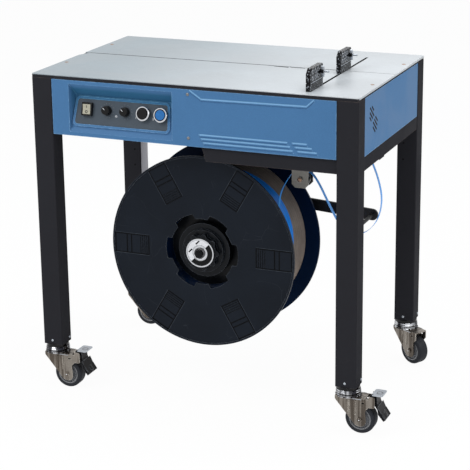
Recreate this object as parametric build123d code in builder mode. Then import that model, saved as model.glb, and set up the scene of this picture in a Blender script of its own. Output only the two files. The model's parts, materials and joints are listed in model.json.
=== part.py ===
from build123d import *
import os
from math import atan2, cos, radians, sin, tan

# A semi-automatic strapping table on four casters, with its strap reel slung below.
# Sizes are in millimetres. X runs to the right along the front, Y to the back and Z up.
# The floor is at Z = 0 and the origin is at the middle of the footprint, casters included.

# Gaps: between a rotating pin and its bore, and between seated pieces
running_gap = 0.05
seat_gap = 0.3

# Table and legs
table_length = 895
table_depth = 565
table_height = 876
plate_thickness = 2
plate_corner = 5
seam_from_front = 300
seam_gap = 3
band_height = 8
band_width = 30
band_inset = 1
leg_width = 56
leg_depth = 52
leg_wall = 2.5
leg_corner = 3
caster_height = 124

# Slots in the table plates: the strap guide at the seam and the track of the package stops
guide_slot_starts = (563, 609)
guide_slot_length = 42
guide_slot_width = 6
guide_slot_skew = 4
corner_cut_x = 15
corner_cut_y = 35
track_from_left = 759
track_front = 29
track_back = 487
track_width = 4

# Cabinet of pressed sheet between the legs
cabinet_height = 148
panel_sheet = 2
panel_lip = 12
panel_gap = 1
panel_setback = 1.5

# Pressed ribs of the front panel. The top one has its places from the left and from the right
# edge, each with its drop below the table band. Each low one has its drop, its start from the
# left, and its break and end from the right.
rib_height = 1.4
rib_taper = 60
rib_width = 8
rib_break = 12
rib_end_slant = 8
top_rib_width = 7
top_rib_left = ((449, 5), (481, 26))
top_rib_right = ((134, 23), (114, 5))
low_ribs = ((118, 473, 178, 133), (128, 478, 171, 120), (138, 484, 164, 107))

# Recess of the control panel, which leans back at its top
recess_left = 106
recess_right = 400
recess_drop = 11
recess_height = 127
recess_foot_depth = 8
recess_head_depth = 30
floor_from_left = 250
floor_foot_width = 286
floor_head_width = 272
floor_foot_rise = 12
floor_head_rise = 93
bezel_margin = 3
bezel_width = 6
bezel_height = 4
bezel_corner = 13
control_plate_thickness = 3

# Controls, by their distance from the table's left edge
switch_from_left = 152
knob_from_left = (208, 260)
button_from_left = (313, 363)
control_rise = 59
switch_width = 29
switch_length = 35
switch_height = 9
switch_wall = 3.5
switch_corner = 2
switch_floor = 1.5
rocker_pivot_height = 5
rocker_pivot_radius = 1.5
rocker_pin_length = 1.4
rocker_end_gap = 1.2
rocker_end_rise = 5
rocker_dip_rise = 3.4
rocker_shoulder = 2
rocker_belly = 2.6
rocker_tilt = 7
knob_radius = 12
knob_height = 15
knob_taper = 4
knob_edge = 1.5
knob_skirt_radius = 13
knob_skirt_height = 1.5
knob_flute_radius = 1.3
knob_flutes = 12
button_radius = 13
button_height = 12.5
button_edge = 1
button_travel = 3
button_stop_gap = 0.5
button_wall = 4
ring_radius = 19
ring_bore_radius = 15.5
ring_height = 3.5
ring_chamfer = 1
barrel_height = 8
barrel_floor = 1.5

# Vents in the side panels: groups of slanted slots, each with its distance from the front,
# its drop below the table band and the lengths of its slots
vent_slot_width = 4
vent_pitch = 10
vent_slant = -40
vent_groups = ((108, 51.5, (20, 43, 30, 18)), (138, 84, (23, 32, 38, 26)))

# Lower tray and rail on the right half
tray_from_left = 477
tray_height = 38
tray_slant = 11
tray_setback = 9
rail_height = 35
rail_width = 34
rail_tab_front = 178
rail_tab_back = 218
rail_tab_drop = 3
floor_sheet = 2

# Strap reel: moulded flanges on a drum, with the wound coil between them
reel_from_left = 439
reel_axis_height = 411.5
reel_front = 84
reel_width = 196
flange_radius = 260
flange_thickness = 4
flange_rim_width = 5
flange_rim_depth = 6
castle_radius = 90
castle_notch_radius = 103
castle_notch_width = 58
castle_count = 6
patch_width = 56
patch_start = 153
patch_depth = 0.8
patch_frame = 2
patch_bars = (205, 218)
patch_fine_bars = (160, 166, 172, 178)
patch_fine_width = 1.2
drum_radius = 108
drum_wall = 4
coil_radius = 220.8

# Reel hub, shaft and the bracket that carries them
shaft_radius = 15
shaft_front = 66
hub_disc_depth = 44
hub_disc_width = 6
hub_outer_radius = 73
hub_outer_depth = 16
hub_mid_radius = 58
hub_mid_depth = 7
star_radius = 50
star_face_depth = -6
star_lobes = 9
star_lobe_radius = 7
cap_radius = 39
cap_inner_radius = 21
cap_thickness = 7
cap_rim = 3
cap_recess = 2
shaft_chamfer = 2
bracket_width = 68
bracket_depth = 52
bracket_wall = 4
bracket_clearance = 12
bracket_below_shaft = 62
bracket_foot_length = 92
bracket_foot_thickness = 5

# Brake arm behind the reel: a flat bar with a cross rod at its tip
arm_pivot_from_left = 545
arm_pivot_height = 510
arm_length = 289
arm_height = 31
arm_thickness = 6
arm_front = 313
arm_droop = 4.1
arm_pin_radius = 8
arm_pin_lead = 4
arm_boss_radius = 13
arm_boss_length = 28
arm_rod_radius = 5
arm_rod_length = 170
arm_rod_chamfer = 1
ear_thickness = 5
ear_height = 50

# Guide roller below the tray
roller_from_left = 690
roller_axis_height = 616
roller_radius = 22
roller_rim_radius = 24
roller_width = 26
roller_rim_width = 3
strap_plane_from_front = 168
roller_plate = 3
roller_plate_width = 45
roller_plate_drop = 23
roller_plate_corner = 9
roller_side_gap = 3
roller_bolt_radius = 5
roller_bolt_head_radius = 8
roller_bolt_head_height = 4

# Strap
strap_width = 12
strap_thickness = 0.8
strap_roller_reach = 18
inlet_from_right = 74
inlet_width = 22
inlet_length = 30
inlet_height = 10
inlet_wall = 3

# Package stops on the table, each with a clamping knob
stop_thickness = 10
stop_base_height = 19
stop_gap = 2
stop_height = 56
stop_corner = 13
stop_back_corner = 4
front_stop_start = 29
front_stop_length = 91
back_stop_start = 258
back_stop_length = 83
stop_pocket_radius = 6
stop_pocket_depth = 3
stop_key_radius = 3.5
stop_key_width = 3.2
stop_key_height = 13
stop_pocket_columns = 4
stop_pocket_rise = 15.6
stop_knob_from_front = (71, 65)
stop_wing_height = 27
stop_wing_width = 4.5
stop_wing_start = 3
stop_neck_radius = 5.5
stop_neck_length = 10
stop_stud_radius = 2
stop_stud_length = 13
tongue_depth = 10
tongue_gap = 0.5
slide_gap = 0.2
tongue_inset = 8

# Strapping head that shows through the guide slots
head_length = 112
head_width = 64
head_height = 60
head_groove_width = 14
head_groove_depth = 12
head_column_width = 44

# Casters
wheel_radius = 40
wheel_width = 32
hub_radius = 30
hub_width = 29
hub_dish = 4
hub_boss_radius = 9
hub_ring_radius = 26
axle_radius = 4
axle_head_radius = 7
axle_head_height = 3
tyre_round = 6
caster_trail = 36
fork_gap = 36
fork_sheet = 2.5
fork_top = 98
fork_plate = 3
fork_plate_end = 50
race_radius = 32
race_height = 8
race_edge = 2
cup_radius = 30
kingpin_radius = 6
kingpin_head_radius = 9
kingpin_head_height = 3
plug_depth = 36

# Side plate of the fork: its slanting back edge, the lobe round the axle and the raised ear
fork_back = 30
fork_back_drop = 9
fork_back_round = 5
fork_lobe_radius = 18
fork_lobe_start = 27
fork_lobe_round = 14
fork_arch_x = 51
fork_arch_z = 66
fork_arch_round = 8
fork_ear_start = 60
fork_ear_foot = 76
fork_ear_reach = 76
fork_ear_top = 106
fork_ear_round = 4
plain_fork_reach = 60
fork_rib_places = (7, 24)
fork_rib_width = 4
fork_rib_height = 1.6
fork_rib_foot = 52
fork_rib_drop = 6
fork_slot_place = (45, 86)
fork_slot_length = 9
fork_slot_width = 4

# Brake pedal between the fork's ears, with its release tab
pedal_pivot_x = 70
pedal_pivot_z = 94
pedal_pin_radius = 3
pedal_body_width = 30
pedal_body_outline = ((58, 91), (67, 111), (80, 111), (82, 90), (92, 67), (86, 63), (74, 84))
pedal_pad_outline = ((85.5, 85), (93, 69), (106, 50), (101, 46), (86, 63), (84.5, 76))
pedal_pad_width = 46
tab_thickness = 2
tab_width = 44
tab_start = 67
tab_reach = 97
tab_corner = 6
back_right_turn = -30

# Places worked out from the sizes above
leg_middle_x = leg_width / 2
leg_middle_y = leg_depth / 2
footprint_left = leg_middle_x - race_radius
footprint_right = table_length - leg_middle_x + max(reach for reach, _ in pedal_pad_outline)
footprint_front = leg_middle_y - race_radius
fork_outer = fork_gap + 2 * fork_sheet
fork_swing = fork_back * sin(radians(-back_right_turn)) + fork_outer / 2 * cos(radians(back_right_turn))
footprint_back = table_depth - leg_middle_y + max(race_radius, fork_swing)
table_left = -(footprint_left + footprint_right) / 2
table_front = -(footprint_front + footprint_back) / 2
plate_bottom = table_height - plate_thickness
band_bottom = plate_bottom - band_height
cabinet_bottom = band_bottom - cabinet_height
tray_bottom = cabinet_bottom - tray_height
reel_x = table_left + reel_from_left
reel_front_y = table_front + reel_front
reel_back_y = reel_front_y + reel_width
inlet_from_left = table_length - inlet_from_right
ends = (Align.MIN, Align.CENTER)


def x_at(from_left):
    return table_left + from_left


def y_at(from_front):
    return table_front + from_front


def facing_front(y):
    """Plane that looks to the front, with its axes along X and Z."""
    return Plane(origin=(0, y, 0), x_dir=(1, 0, 0), z_dir=(0, -1, 0))


def facing_right(x):
    """Plane that looks to the right, with its axes along Y and Z."""
    return Plane(origin=(x, 0, 0), x_dir=(0, 1, 0), z_dir=(1, 0, 0))


def reel_plane(y):
    """Plane across the reel's axis that looks to the front."""
    return Plane(origin=(reel_x, y, reel_axis_height), x_dir=(1, 0, 0), z_dir=(0, -1, 0))


def save(piece, name):
    piece.part.label = name
    export_step(piece.part, f"parts/{name}.step")


os.makedirs("parts", exist_ok=True)

# Legs of square tube
leg_places = {
    "front_left": (leg_middle_x, leg_middle_y),
    "front_right": (table_length - leg_middle_x, leg_middle_y),
    "back_left": (leg_middle_x, table_depth - leg_middle_y),
    "back_right": (table_length - leg_middle_x, table_depth - leg_middle_y),
}
with BuildPart() as legs:
    for leg_x, leg_y in leg_places.values():
        with BuildSketch(Plane.XY.offset(caster_height)):
            with Locations((x_at(leg_x), y_at(leg_y))):
                RectangleRounded(leg_width, leg_depth, leg_corner)
                Rectangle(leg_width - 2 * leg_wall, leg_depth - 2 * leg_wall, mode=Mode.SUBTRACT)
        extrude(amount=band_bottom - caster_height)
save(legs, "legs")

# Flat bars that carry the table plates, one along each side
side_bar_length = table_depth - 2 * band_inset - 2 * band_width - 2 * panel_gap
with BuildPart() as top_frame:
    with BuildSketch(Plane.XY.offset(band_bottom)):
        for bar_y in (band_inset + band_width / 2, table_depth - band_inset - band_width / 2):
            with Locations((x_at(table_length / 2), y_at(bar_y))):
                Rectangle(table_length - 2 * band_inset, band_width)
        for bar_x in (band_inset + band_width / 2, table_length - band_inset - band_width / 2):
            with Locations((x_at(bar_x), y_at(table_depth / 2))):
                Rectangle(band_width, side_bar_length)
    extrude(amount=band_height)
save(top_frame, "top_frame")


def cut_track():
    """The slot across the seam in which the package stops slide."""
    with Locations((x_at(track_from_left), y_at((track_front + track_back) / 2))):
        SlotOverall(track_back - track_front, track_width, rotation=90, mode=Mode.SUBTRACT)


# Front table plate, with its corner cut at the seam and the two strap guide slots
front_plate_depth = seam_from_front - seam_gap / 2
with BuildPart() as table_front_plate:
    with BuildSketch(Plane.XY.offset(plate_bottom)):
        with BuildLine():
            Polyline(
                (x_at(0), y_at(0)),
                (x_at(table_length), y_at(0)),
                (x_at(table_length), y_at(front_plate_depth)),
                (x_at(corner_cut_x), y_at(front_plate_depth)),
                (x_at(0), y_at(front_plate_depth - corner_cut_y)),
                close=True,
            )
        make_face()
        for slot_start, skew in zip(guide_slot_starts, (guide_slot_skew, 0)):
            slot_end = slot_start + guide_slot_length
            with BuildLine():
                Polyline(
                    (x_at(slot_start), y_at(front_plate_depth + seam_gap)),
                    (x_at(slot_start), y_at(front_plate_depth - guide_slot_width)),
                    (x_at(slot_end), y_at(front_plate_depth - guide_slot_width - skew)),
                    (x_at(slot_end), y_at(front_plate_depth + seam_gap)),
                    close=True,
                )
            make_face(mode=Mode.SUBTRACT)
        cut_track()
    extrude(amount=plate_thickness)
    fillet(table_front_plate.edges().filter_by(Axis.Z).group_by(Axis.Y)[0], plate_corner)
save(table_front_plate, "table_front_plate")

with BuildPart() as table_back_plate:
    with BuildSketch(Plane.XY.offset(plate_bottom)):
        with Locations((x_at(0), y_at(seam_from_front + seam_gap / 2))):
            Rectangle(table_length, table_depth - seam_from_front - seam_gap / 2, align=Align.MIN)
        cut_track()
    extrude(amount=plate_thickness)
    fillet(table_back_plate.edges().filter_by(Axis.Z).group_by(Axis.Y)[-1], plate_corner)
save(table_back_plate, "table_back_plate")

# Cabinet panels: sheets with folded lips at the top and bottom
front_panel_y = y_at(panel_setback)
panel_length = table_length - 2 * leg_width - 2 * panel_gap
panel_height = cabinet_height - panel_gap
panel_middle_z = cabinet_bottom + panel_height / 2
side_panel_length = table_depth - 2 * leg_depth - 2 * panel_gap
recess_top = band_bottom - recess_drop
recess_bottom = recess_top - recess_height
recess_middle_x = (recess_left + recess_right) / 2
floor_lean = atan2(recess_head_depth - recess_foot_depth, floor_head_rise - floor_foot_rise)
floor_length = (floor_head_rise - floor_foot_rise) / cos(floor_lean)
recess_floor = Plane(
    origin=(
        x_at(floor_from_left),
        front_panel_y + (recess_foot_depth + recess_head_depth) / 2,
        recess_bottom + (floor_foot_rise + floor_head_rise) / 2,
    ),
    x_dir=(1, 0, 0),
    z_dir=(0, -cos(floor_lean), sin(floor_lean)),
)


def add_floor_outline(margin):
    """The trapezoid of the recess floor, moved out by the margin on each side."""
    Polygon(
        (-floor_foot_width / 2, -floor_length / 2),
        (floor_foot_width / 2, -floor_length / 2),
        (floor_head_width / 2, floor_length / 2),
        (-floor_head_width / 2, floor_length / 2),
        align=None,
    )
    if margin:
        offset(amount=margin, kind=Kind.INTERSECTION)


with BuildPart() as front_panel:
    panel_face = facing_front(front_panel_y)
    with BuildSketch(panel_face):
        with Locations((x_at(table_length / 2), panel_middle_z)):
            Rectangle(panel_length, panel_height)
    extrude(amount=-panel_sheet)
    with BuildSketch(panel_face):
        with Locations((x_at(table_length / 2), panel_middle_z)):
            with Locations((0, (panel_height - panel_sheet) / 2), (0, -(panel_height - panel_sheet) / 2)):
                Rectangle(panel_length, panel_sheet)
    extrude(amount=-panel_lip)
    for margin, mode in ((panel_sheet, Mode.ADD), (0, Mode.SUBTRACT)):
        with BuildSketch(panel_face):
            with Locations((x_at(recess_middle_x), (recess_top + recess_bottom) / 2)):
                Rectangle(recess_right - recess_left + 2 * margin, recess_height + 2 * margin)
        with BuildSketch(recess_floor.offset(-margin)):
            add_floor_outline(margin)
        loft(ruled=True, mode=mode)
    with BuildSketch(recess_floor) as bezel:
        add_floor_outline(-bezel_margin)
        fillet(bezel.vertices(), bezel_corner)
        offset(amount=-bezel_width, mode=Mode.SUBTRACT)
    extrude(amount=bezel_height)
    with BuildSketch(panel_face):
        with BuildLine():
            Polyline(
                *[(x_at(rib_x), band_bottom - drop) for rib_x, drop in top_rib_left],
                *[(x_at(table_length - rib_x), band_bottom - drop) for rib_x, drop in top_rib_right],
            )
        trace(line_width=top_rib_width)
    extrude(amount=rib_height, taper=rib_taper)
    with BuildSketch(panel_face):
        for drop, rib_start, gap_from_right, end_from_right in low_ribs:
            rib_z = band_bottom - drop
            rib_gap = table_length - gap_from_right
            rib_end = table_length - end_from_right
            for start, end in ((rib_start, rib_gap - rib_break / 2), (rib_gap + rib_break / 2, rib_end)):
                with BuildLine():
                    Polyline(
                        (x_at(start), rib_z - rib_width / 2),
                        (x_at(end + rib_end_slant / 2), rib_z - rib_width / 2),
                        (x_at(end), rib_z + rib_width / 2),
                        (x_at(start + rib_end_slant / 2), rib_z + rib_width / 2),
                        close=True,
                    )
                make_face()
    extrude(amount=rib_height, taper=rib_taper)
save(front_panel, "front_panel")

with BuildPart() as outer_panels:
    back_face = facing_front(y_at(table_depth - panel_setback))
    lip_rise = (panel_height - panel_sheet) / 2
    for sheet_depth, sheet_heights in (
        (panel_sheet, ((0, panel_height),)),
        (panel_lip, ((lip_rise, panel_sheet), (-lip_rise, panel_sheet))),
    ):
        for rise, sheet_height in sheet_heights:
            with BuildSketch(back_face):
                with Locations((x_at(table_length / 2), panel_middle_z + rise)):
                    Rectangle(panel_length, sheet_height)
            extrude(amount=sheet_depth)
            for side_x, inwards in ((table_length - panel_setback, -1), (panel_setback, 1)):
                with BuildSketch(facing_right(x_at(side_x))):
                    with Locations((y_at(table_depth / 2), panel_middle_z + rise)):
                        Rectangle(side_panel_length, sheet_height)
                extrude(amount=inwards * sheet_depth)
    with BuildSketch(facing_right(x_at(0))):
        for group_y, group_drop, slot_lengths in vent_groups:
            for row, slot_length in enumerate(slot_lengths):
                row_offset = (row - (len(slot_lengths) - 1) / 2) * vent_pitch
                slot_y = y_at(group_y) + row_offset * sin(radians(vent_slant))
                slot_z = band_bottom - group_drop - row_offset * cos(radians(vent_slant))
                with Locations((slot_y, slot_z)):
                    SlotOverall(slot_length, vent_slot_width, rotation=vent_slant)
    extrude(amount=table_length, mode=Mode.SUBTRACT)
save(outer_panels, "outer_panels")

# Sheet that closes the cabinet from below
floor_sheet_depth = table_depth - 2 * (panel_setback + panel_lip)
with BuildPart() as floor_plate:
    with BuildSketch(Plane.XY.offset(cabinet_bottom)):
        with Locations((x_at(table_length / 2), y_at(table_depth / 2))):
            Rectangle(table_length - 2 * (panel_setback + panel_lip), floor_sheet_depth)
        for corner_x in (leg_middle_x, table_length - leg_middle_x):
            for corner_y in (leg_middle_y, table_depth - leg_middle_y):
                with Locations((x_at(corner_x), y_at(corner_y))):
                    Rectangle(leg_width + 2 * panel_gap, leg_depth + 2 * panel_gap, mode=Mode.SUBTRACT)
    extrude(amount=floor_sheet)
save(floor_plate, "floor_plate")

# Shallow tray under the right half, open at its top
tray_right = table_length - leg_width - panel_gap
tray_depth = table_depth - 2 * tray_setback
with BuildPart() as lower_tray:
    with BuildSketch(facing_front(y_at(tray_setback))):
        with BuildLine():
            Polyline(
                (x_at(tray_from_left), cabinet_bottom),
                (x_at(tray_right), cabinet_bottom),
                (x_at(tray_right), tray_bottom),
                (x_at(tray_from_left + tray_slant), tray_bottom),
                close=True,
            )
        make_face()
    extrude(amount=-tray_depth)
    offset(amount=-floor_sheet, openings=lower_tray.faces().sort_by(Axis.Z)[-1])
    with BuildSketch(Plane.XY.offset(tray_bottom)):
        with Locations((x_at(inlet_from_left), y_at(seam_from_front))):
            Rectangle(inlet_width - 2 * inlet_wall, inlet_length - 2 * inlet_wall)
    extrude(amount=floor_sheet, mode=Mode.SUBTRACT)
    with BuildSketch(Plane.XY.offset(tray_bottom - inlet_height)):
        with Locations((x_at(inlet_from_left), y_at(seam_from_front))):
            RectangleRounded(inlet_width, inlet_length, inlet_wall)
            Rectangle(inlet_width - 2 * inlet_wall, inlet_length - 2 * inlet_wall, mode=Mode.SUBTRACT)
    extrude(amount=inlet_height)
save(lower_tray, "lower_tray")

# Channel rail under the right side panel, between the legs
with BuildPart() as right_rail:
    rail_top = cabinet_bottom - panel_gap
    with BuildSketch(facing_right(x_at(table_length - panel_setback))):
        with Locations((y_at(table_depth / 2), rail_top - rail_height / 2)):
            Rectangle(side_panel_length + 2 * panel_gap, rail_height)
    extrude(amount=-panel_sheet)
    with BuildSketch(facing_right(x_at(table_length - panel_setback))):
        rail_lip = (rail_height - panel_sheet) / 2
        with Locations((y_at(table_depth / 2), rail_top - rail_height / 2)):
            with Locations((0, rail_lip), (0, -rail_lip)):
                Rectangle(side_panel_length + 2 * panel_gap, panel_sheet)
    extrude(amount=-rail_width)
    with BuildSketch(facing_right(x_at(table_length - panel_setback))):
        with Locations((y_at((rail_tab_front + rail_tab_back) / 2), rail_top - rail_height)):
            Rectangle(rail_tab_back - rail_tab_front, 2 * rail_tab_drop)
    extrude(amount=-panel_sheet)
save(right_rail, "right_rail")

# Control plate inside the bezel of the recess
control_origin_v = (control_rise - (floor_foot_rise + floor_head_rise) / 2) / cos(floor_lean)


def control_plane(from_left, height):
    """Plane on the control plate's normal at a control, at a height above the recess floor."""
    spot = recess_floor.from_local_coords((from_left - floor_from_left, control_origin_v, height))
    return Plane(origin=spot, x_dir=recess_floor.x_dir, z_dir=recess_floor.z_dir)


with BuildPart() as control_plate:
    with BuildSketch(recess_floor) as plate_outline:
        add_floor_outline(-(bezel_margin + bezel_width + seat_gap))
        fillet(plate_outline.vertices(), bezel_corner - bezel_width - seat_gap)
    extrude(amount=control_plate_thickness)
save(control_plate, "control_plate")

# Rocker switch: a frame with a pocket, and the rocker on its two short pins
pocket_width = switch_width - 2 * switch_wall
pocket_length = switch_length - 2 * switch_wall
with BuildPart() as switch_frame:
    with BuildSketch(control_plane(switch_from_left, control_plate_thickness)):
        RectangleRounded(switch_width, switch_length, switch_corner)
    extrude(amount=switch_height)
    with BuildSketch(control_plane(switch_from_left, control_plate_thickness + switch_height)):
        Rectangle(pocket_width, pocket_length)
    extrude(amount=-(switch_height - switch_floor), mode=Mode.SUBTRACT)
    pivot_plane = control_plane(switch_from_left, control_plate_thickness + rocker_pivot_height)
    with BuildSketch(Plane(origin=pivot_plane.origin, x_dir=pivot_plane.y_dir, z_dir=pivot_plane.x_dir)):
        Circle(rocker_pivot_radius + running_gap)
    extrude(amount=pocket_width / 2 + rocker_pin_length + seat_gap, both=True, mode=Mode.SUBTRACT)
save(switch_frame, "switch_frame")

rocker_half = pocket_length / 2 - rocker_end_gap
with BuildPart() as switch_rocker:
    rocker_plane = Plane(
        origin=pivot_plane.origin,
        x_dir=pivot_plane.y_dir.rotate(Axis.X, rocker_tilt),
        z_dir=pivot_plane.x_dir,
    )
    with BuildSketch(rocker_plane):
        with BuildLine():
            Polyline(
                (-rocker_half, rocker_shoulder),
                (-rocker_half, rocker_end_rise),
                (0, rocker_dip_rise),
                (rocker_half, rocker_end_rise),
                (rocker_half, rocker_shoulder),
            )
            ThreePointArc(
                (rocker_half, rocker_shoulder), (0, -rocker_belly), (-rocker_half, rocker_shoulder)
            )
        make_face()
    extrude(amount=pocket_width / 2 - seat_gap, both=True)
    with BuildSketch(rocker_plane):
        Circle(rocker_pivot_radius)
    extrude(amount=pocket_width / 2 + rocker_pin_length, both=True)
save(switch_rocker, "switch_rocker")

# Two fluted knobs, each on a round skirt
for knob_name, knob_x in zip(("knob_left", "knob_right"), knob_from_left):
    with BuildPart() as knob:
        knob_plane = control_plane(knob_x, control_plate_thickness + seat_gap)
        with BuildSketch(knob_plane):
            Circle(knob_radius)
        extrude(amount=knob_height, taper=knob_taper)
        fillet(knob.edges().filter_by(GeomType.CIRCLE).sort_by(SortBy.RADIUS)[0], knob_edge)
        with BuildSketch(knob_plane):
            with PolarLocations(knob_radius, knob_flutes):
                Circle(knob_flute_radius)
        extrude(amount=knob_height, mode=Mode.SUBTRACT)
        with BuildSketch(knob_plane):
            Circle(knob_skirt_radius)
        extrude(amount=knob_skirt_height)
    save(knob, knob_name)

# Two push buttons: black barrels, bright rings and the caps that press in
with BuildPart() as button_barrels:
    for button_x in button_from_left:
        with BuildSketch(control_plane(button_x, control_plate_thickness)):
            Circle(button_radius + button_wall)
        extrude(amount=barrel_height)
        with BuildSketch(control_plane(button_x, control_plate_thickness + barrel_floor)):
            Circle(button_radius + seat_gap)
        extrude(amount=barrel_height, mode=Mode.SUBTRACT)
save(button_barrels, "button_barrels")

with BuildPart() as button_rings:
    for button_x in button_from_left:
        with BuildSketch(control_plane(button_x, control_plate_thickness + barrel_height)):
            Circle(ring_radius)
            Circle(ring_bore_radius, mode=Mode.SUBTRACT)
        extrude(amount=ring_height)
    chamfer(button_rings.edges().filter_by(GeomType.CIRCLE).group_by(SortBy.RADIUS)[-1], ring_chamfer)
save(button_rings, "button_rings")

button_base = barrel_floor + button_travel + button_stop_gap
for button_name, button_x in zip(("button_black", "button_blue"), button_from_left):
    with BuildPart() as button:
        with BuildSketch(control_plane(button_x, control_plate_thickness + button_base)):
            Circle(button_radius)
        extrude(amount=button_height - button_base)
        fillet(button.edges().filter_by(GeomType.CIRCLE).sort_by(Axis.Z)[-1], button_edge)
    save(button, button_name)


# Reel flanges with castellated centre holes and six framed, finely barred patches
patch_end = flange_radius - flange_rim_width - patch_frame
for flange_name, inner_y, outward in (
    ("reel_front_flange", reel_front_y + flange_thickness, 1),
    ("reel_back_flange", reel_back_y - flange_thickness, -1),
):
    with BuildPart() as flange:
        with BuildSketch(reel_plane(inner_y)):
            Circle(flange_radius)
        extrude(amount=outward * flange_thickness)
        with BuildSketch(reel_plane(inner_y)):
            Circle(flange_radius)
            Circle(flange_radius - flange_rim_width, mode=Mode.SUBTRACT)
        extrude(amount=outward * flange_rim_depth)
        with BuildSketch(reel_plane(inner_y)):
            Circle(castle_radius)
            with PolarLocations(castle_notch_radius / 2, castle_count):
                Rectangle(castle_notch_radius, castle_notch_width)
            Circle(castle_notch_radius, mode=Mode.INTERSECT)
        extrude(amount=outward * flange_rim_depth, mode=Mode.SUBTRACT)
        with BuildSketch(reel_plane(inner_y - outward * flange_thickness)):
            with PolarLocations((patch_start + patch_end) / 2, castle_count):
                Rectangle(patch_end - patch_start, patch_width)
                Rectangle(patch_end - patch_start - 2 * patch_frame, patch_width - 2 * patch_frame,
                          mode=Mode.SUBTRACT)
            for bar_radius in patch_bars:
                with PolarLocations(bar_radius, castle_count):
                    Rectangle(patch_frame, patch_width)
            for bar_radius in patch_fine_bars:
                with PolarLocations(bar_radius, castle_count):
                    Rectangle(patch_fine_width, patch_width)
        extrude(amount=-outward * patch_depth, mode=Mode.SUBTRACT)
    save(flange, flange_name)

# Drum between the flanges, and the strap that is wound on it
with BuildPart() as reel_drum:
    with BuildSketch(reel_plane(reel_back_y - flange_thickness)):
        Circle(drum_radius)
        Circle(drum_radius - drum_wall, mode=Mode.SUBTRACT)
    extrude(amount=reel_width - 2 * flange_thickness)
save(reel_drum, "reel_drum")

with BuildPart() as strap_coil:
    with BuildSketch(reel_plane(reel_back_y - flange_thickness - seat_gap)):
        Circle(coil_radius)
        Circle(drum_radius + seat_gap, mode=Mode.SUBTRACT)
    extrude(amount=reel_width - 2 * flange_thickness - 2 * seat_gap)
save(strap_coil, "strap_coil")

# Hub: a disc that centres the drum, and a stepped boss with a lobed nut before it
with BuildPart() as hub_disc:
    with BuildSketch(reel_plane(reel_front_y + hub_disc_depth + hub_disc_width)):
        Circle(drum_radius - drum_wall - seat_gap)
        Circle(shaft_radius + running_gap, mode=Mode.SUBTRACT)
    extrude(amount=hub_disc_width)
save(hub_disc, "hub_disc")

with BuildPart() as reel_hub:
    with BuildSketch(reel_plane(reel_front_y + hub_disc_depth)):
        Circle(hub_outer_radius)
    extrude(amount=hub_disc_depth - hub_outer_depth)
    with BuildSketch(reel_plane(reel_front_y + hub_outer_depth)):
        Circle(hub_mid_radius)
    extrude(amount=hub_outer_depth - hub_mid_depth)
    with BuildSketch(reel_plane(reel_front_y + hub_mid_depth)):
        Circle(star_radius - star_lobe_radius)
        with PolarLocations(star_radius - star_lobe_radius, star_lobes):
            Circle(star_lobe_radius)
    extrude(amount=hub_mid_depth - star_face_depth)
    with BuildSketch(reel_plane(reel_front_y + hub_disc_depth)):
        Circle(shaft_radius + running_gap)
    extrude(amount=hub_disc_depth - star_face_depth, mode=Mode.SUBTRACT)
save(reel_hub, "reel_hub")

cap_back_y = reel_front_y + star_face_depth
with BuildPart() as hub_cap:
    with BuildSketch(reel_plane(cap_back_y)):
        Circle(cap_radius)
        Circle(shaft_radius + running_gap, mode=Mode.SUBTRACT)
    extrude(amount=cap_thickness)
    with BuildSketch(reel_plane(cap_back_y - cap_thickness)):
        Circle(cap_radius - cap_rim)
        Circle(cap_inner_radius, mode=Mode.SUBTRACT)
    extrude(amount=-cap_recess, mode=Mode.SUBTRACT)
save(hub_cap, "hub_cap")

# Shaft and the box-section bracket behind the reel
bracket_front_y = reel_back_y + bracket_clearance + flange_rim_depth
with BuildPart() as reel_shaft:
    with BuildSketch(reel_plane(bracket_front_y)):
        Circle(shaft_radius)
    extrude(amount=bracket_front_y - y_at(shaft_front))
    chamfer(reel_shaft.faces().sort_by(Axis.Y)[0].edges(), shaft_chamfer)
save(reel_shaft, "reel_shaft")

bracket_middle_y = bracket_front_y + bracket_depth / 2
bracket_bottom = reel_axis_height - bracket_below_shaft
bracket_top = cabinet_bottom - bracket_foot_thickness
ear_back_y = bracket_front_y + bracket_depth
arm_pivot_x = x_at(arm_pivot_from_left)
with BuildPart() as reel_bracket:
    with BuildSketch(Plane.XY.offset(bracket_bottom)):
        with Locations((reel_x, bracket_middle_y)):
            Rectangle(bracket_width, bracket_depth)
            Rectangle(bracket_width - 2 * bracket_wall, bracket_depth - 2 * bracket_wall, mode=Mode.SUBTRACT)
    extrude(amount=bracket_top - bracket_bottom)
    with BuildSketch(Plane.XY.offset(bracket_top)):
        with Locations((reel_x, bracket_middle_y)):
            Rectangle(bracket_width, bracket_foot_length)
    extrude(amount=bracket_foot_thickness)
    with BuildSketch(facing_front(ear_back_y)):
        with Locations((reel_x + bracket_width / 2 - bracket_wall, arm_pivot_height)):
            ear_length = arm_pivot_x - reel_x - bracket_width / 2 + bracket_wall
            Rectangle(ear_length, ear_height, align=ends)
        with Locations((arm_pivot_x, arm_pivot_height)):
            Circle(ear_height / 2)
    extrude(amount=ear_thickness)
    with BuildSketch(facing_front(ear_back_y - ear_thickness)):
        with Locations((arm_pivot_x, arm_pivot_height)):
            Circle(arm_pin_radius)
    extrude(amount=ear_back_y - ear_thickness - y_at(arm_front) + arm_pin_lead)
save(reel_bracket, "reel_bracket")

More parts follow.
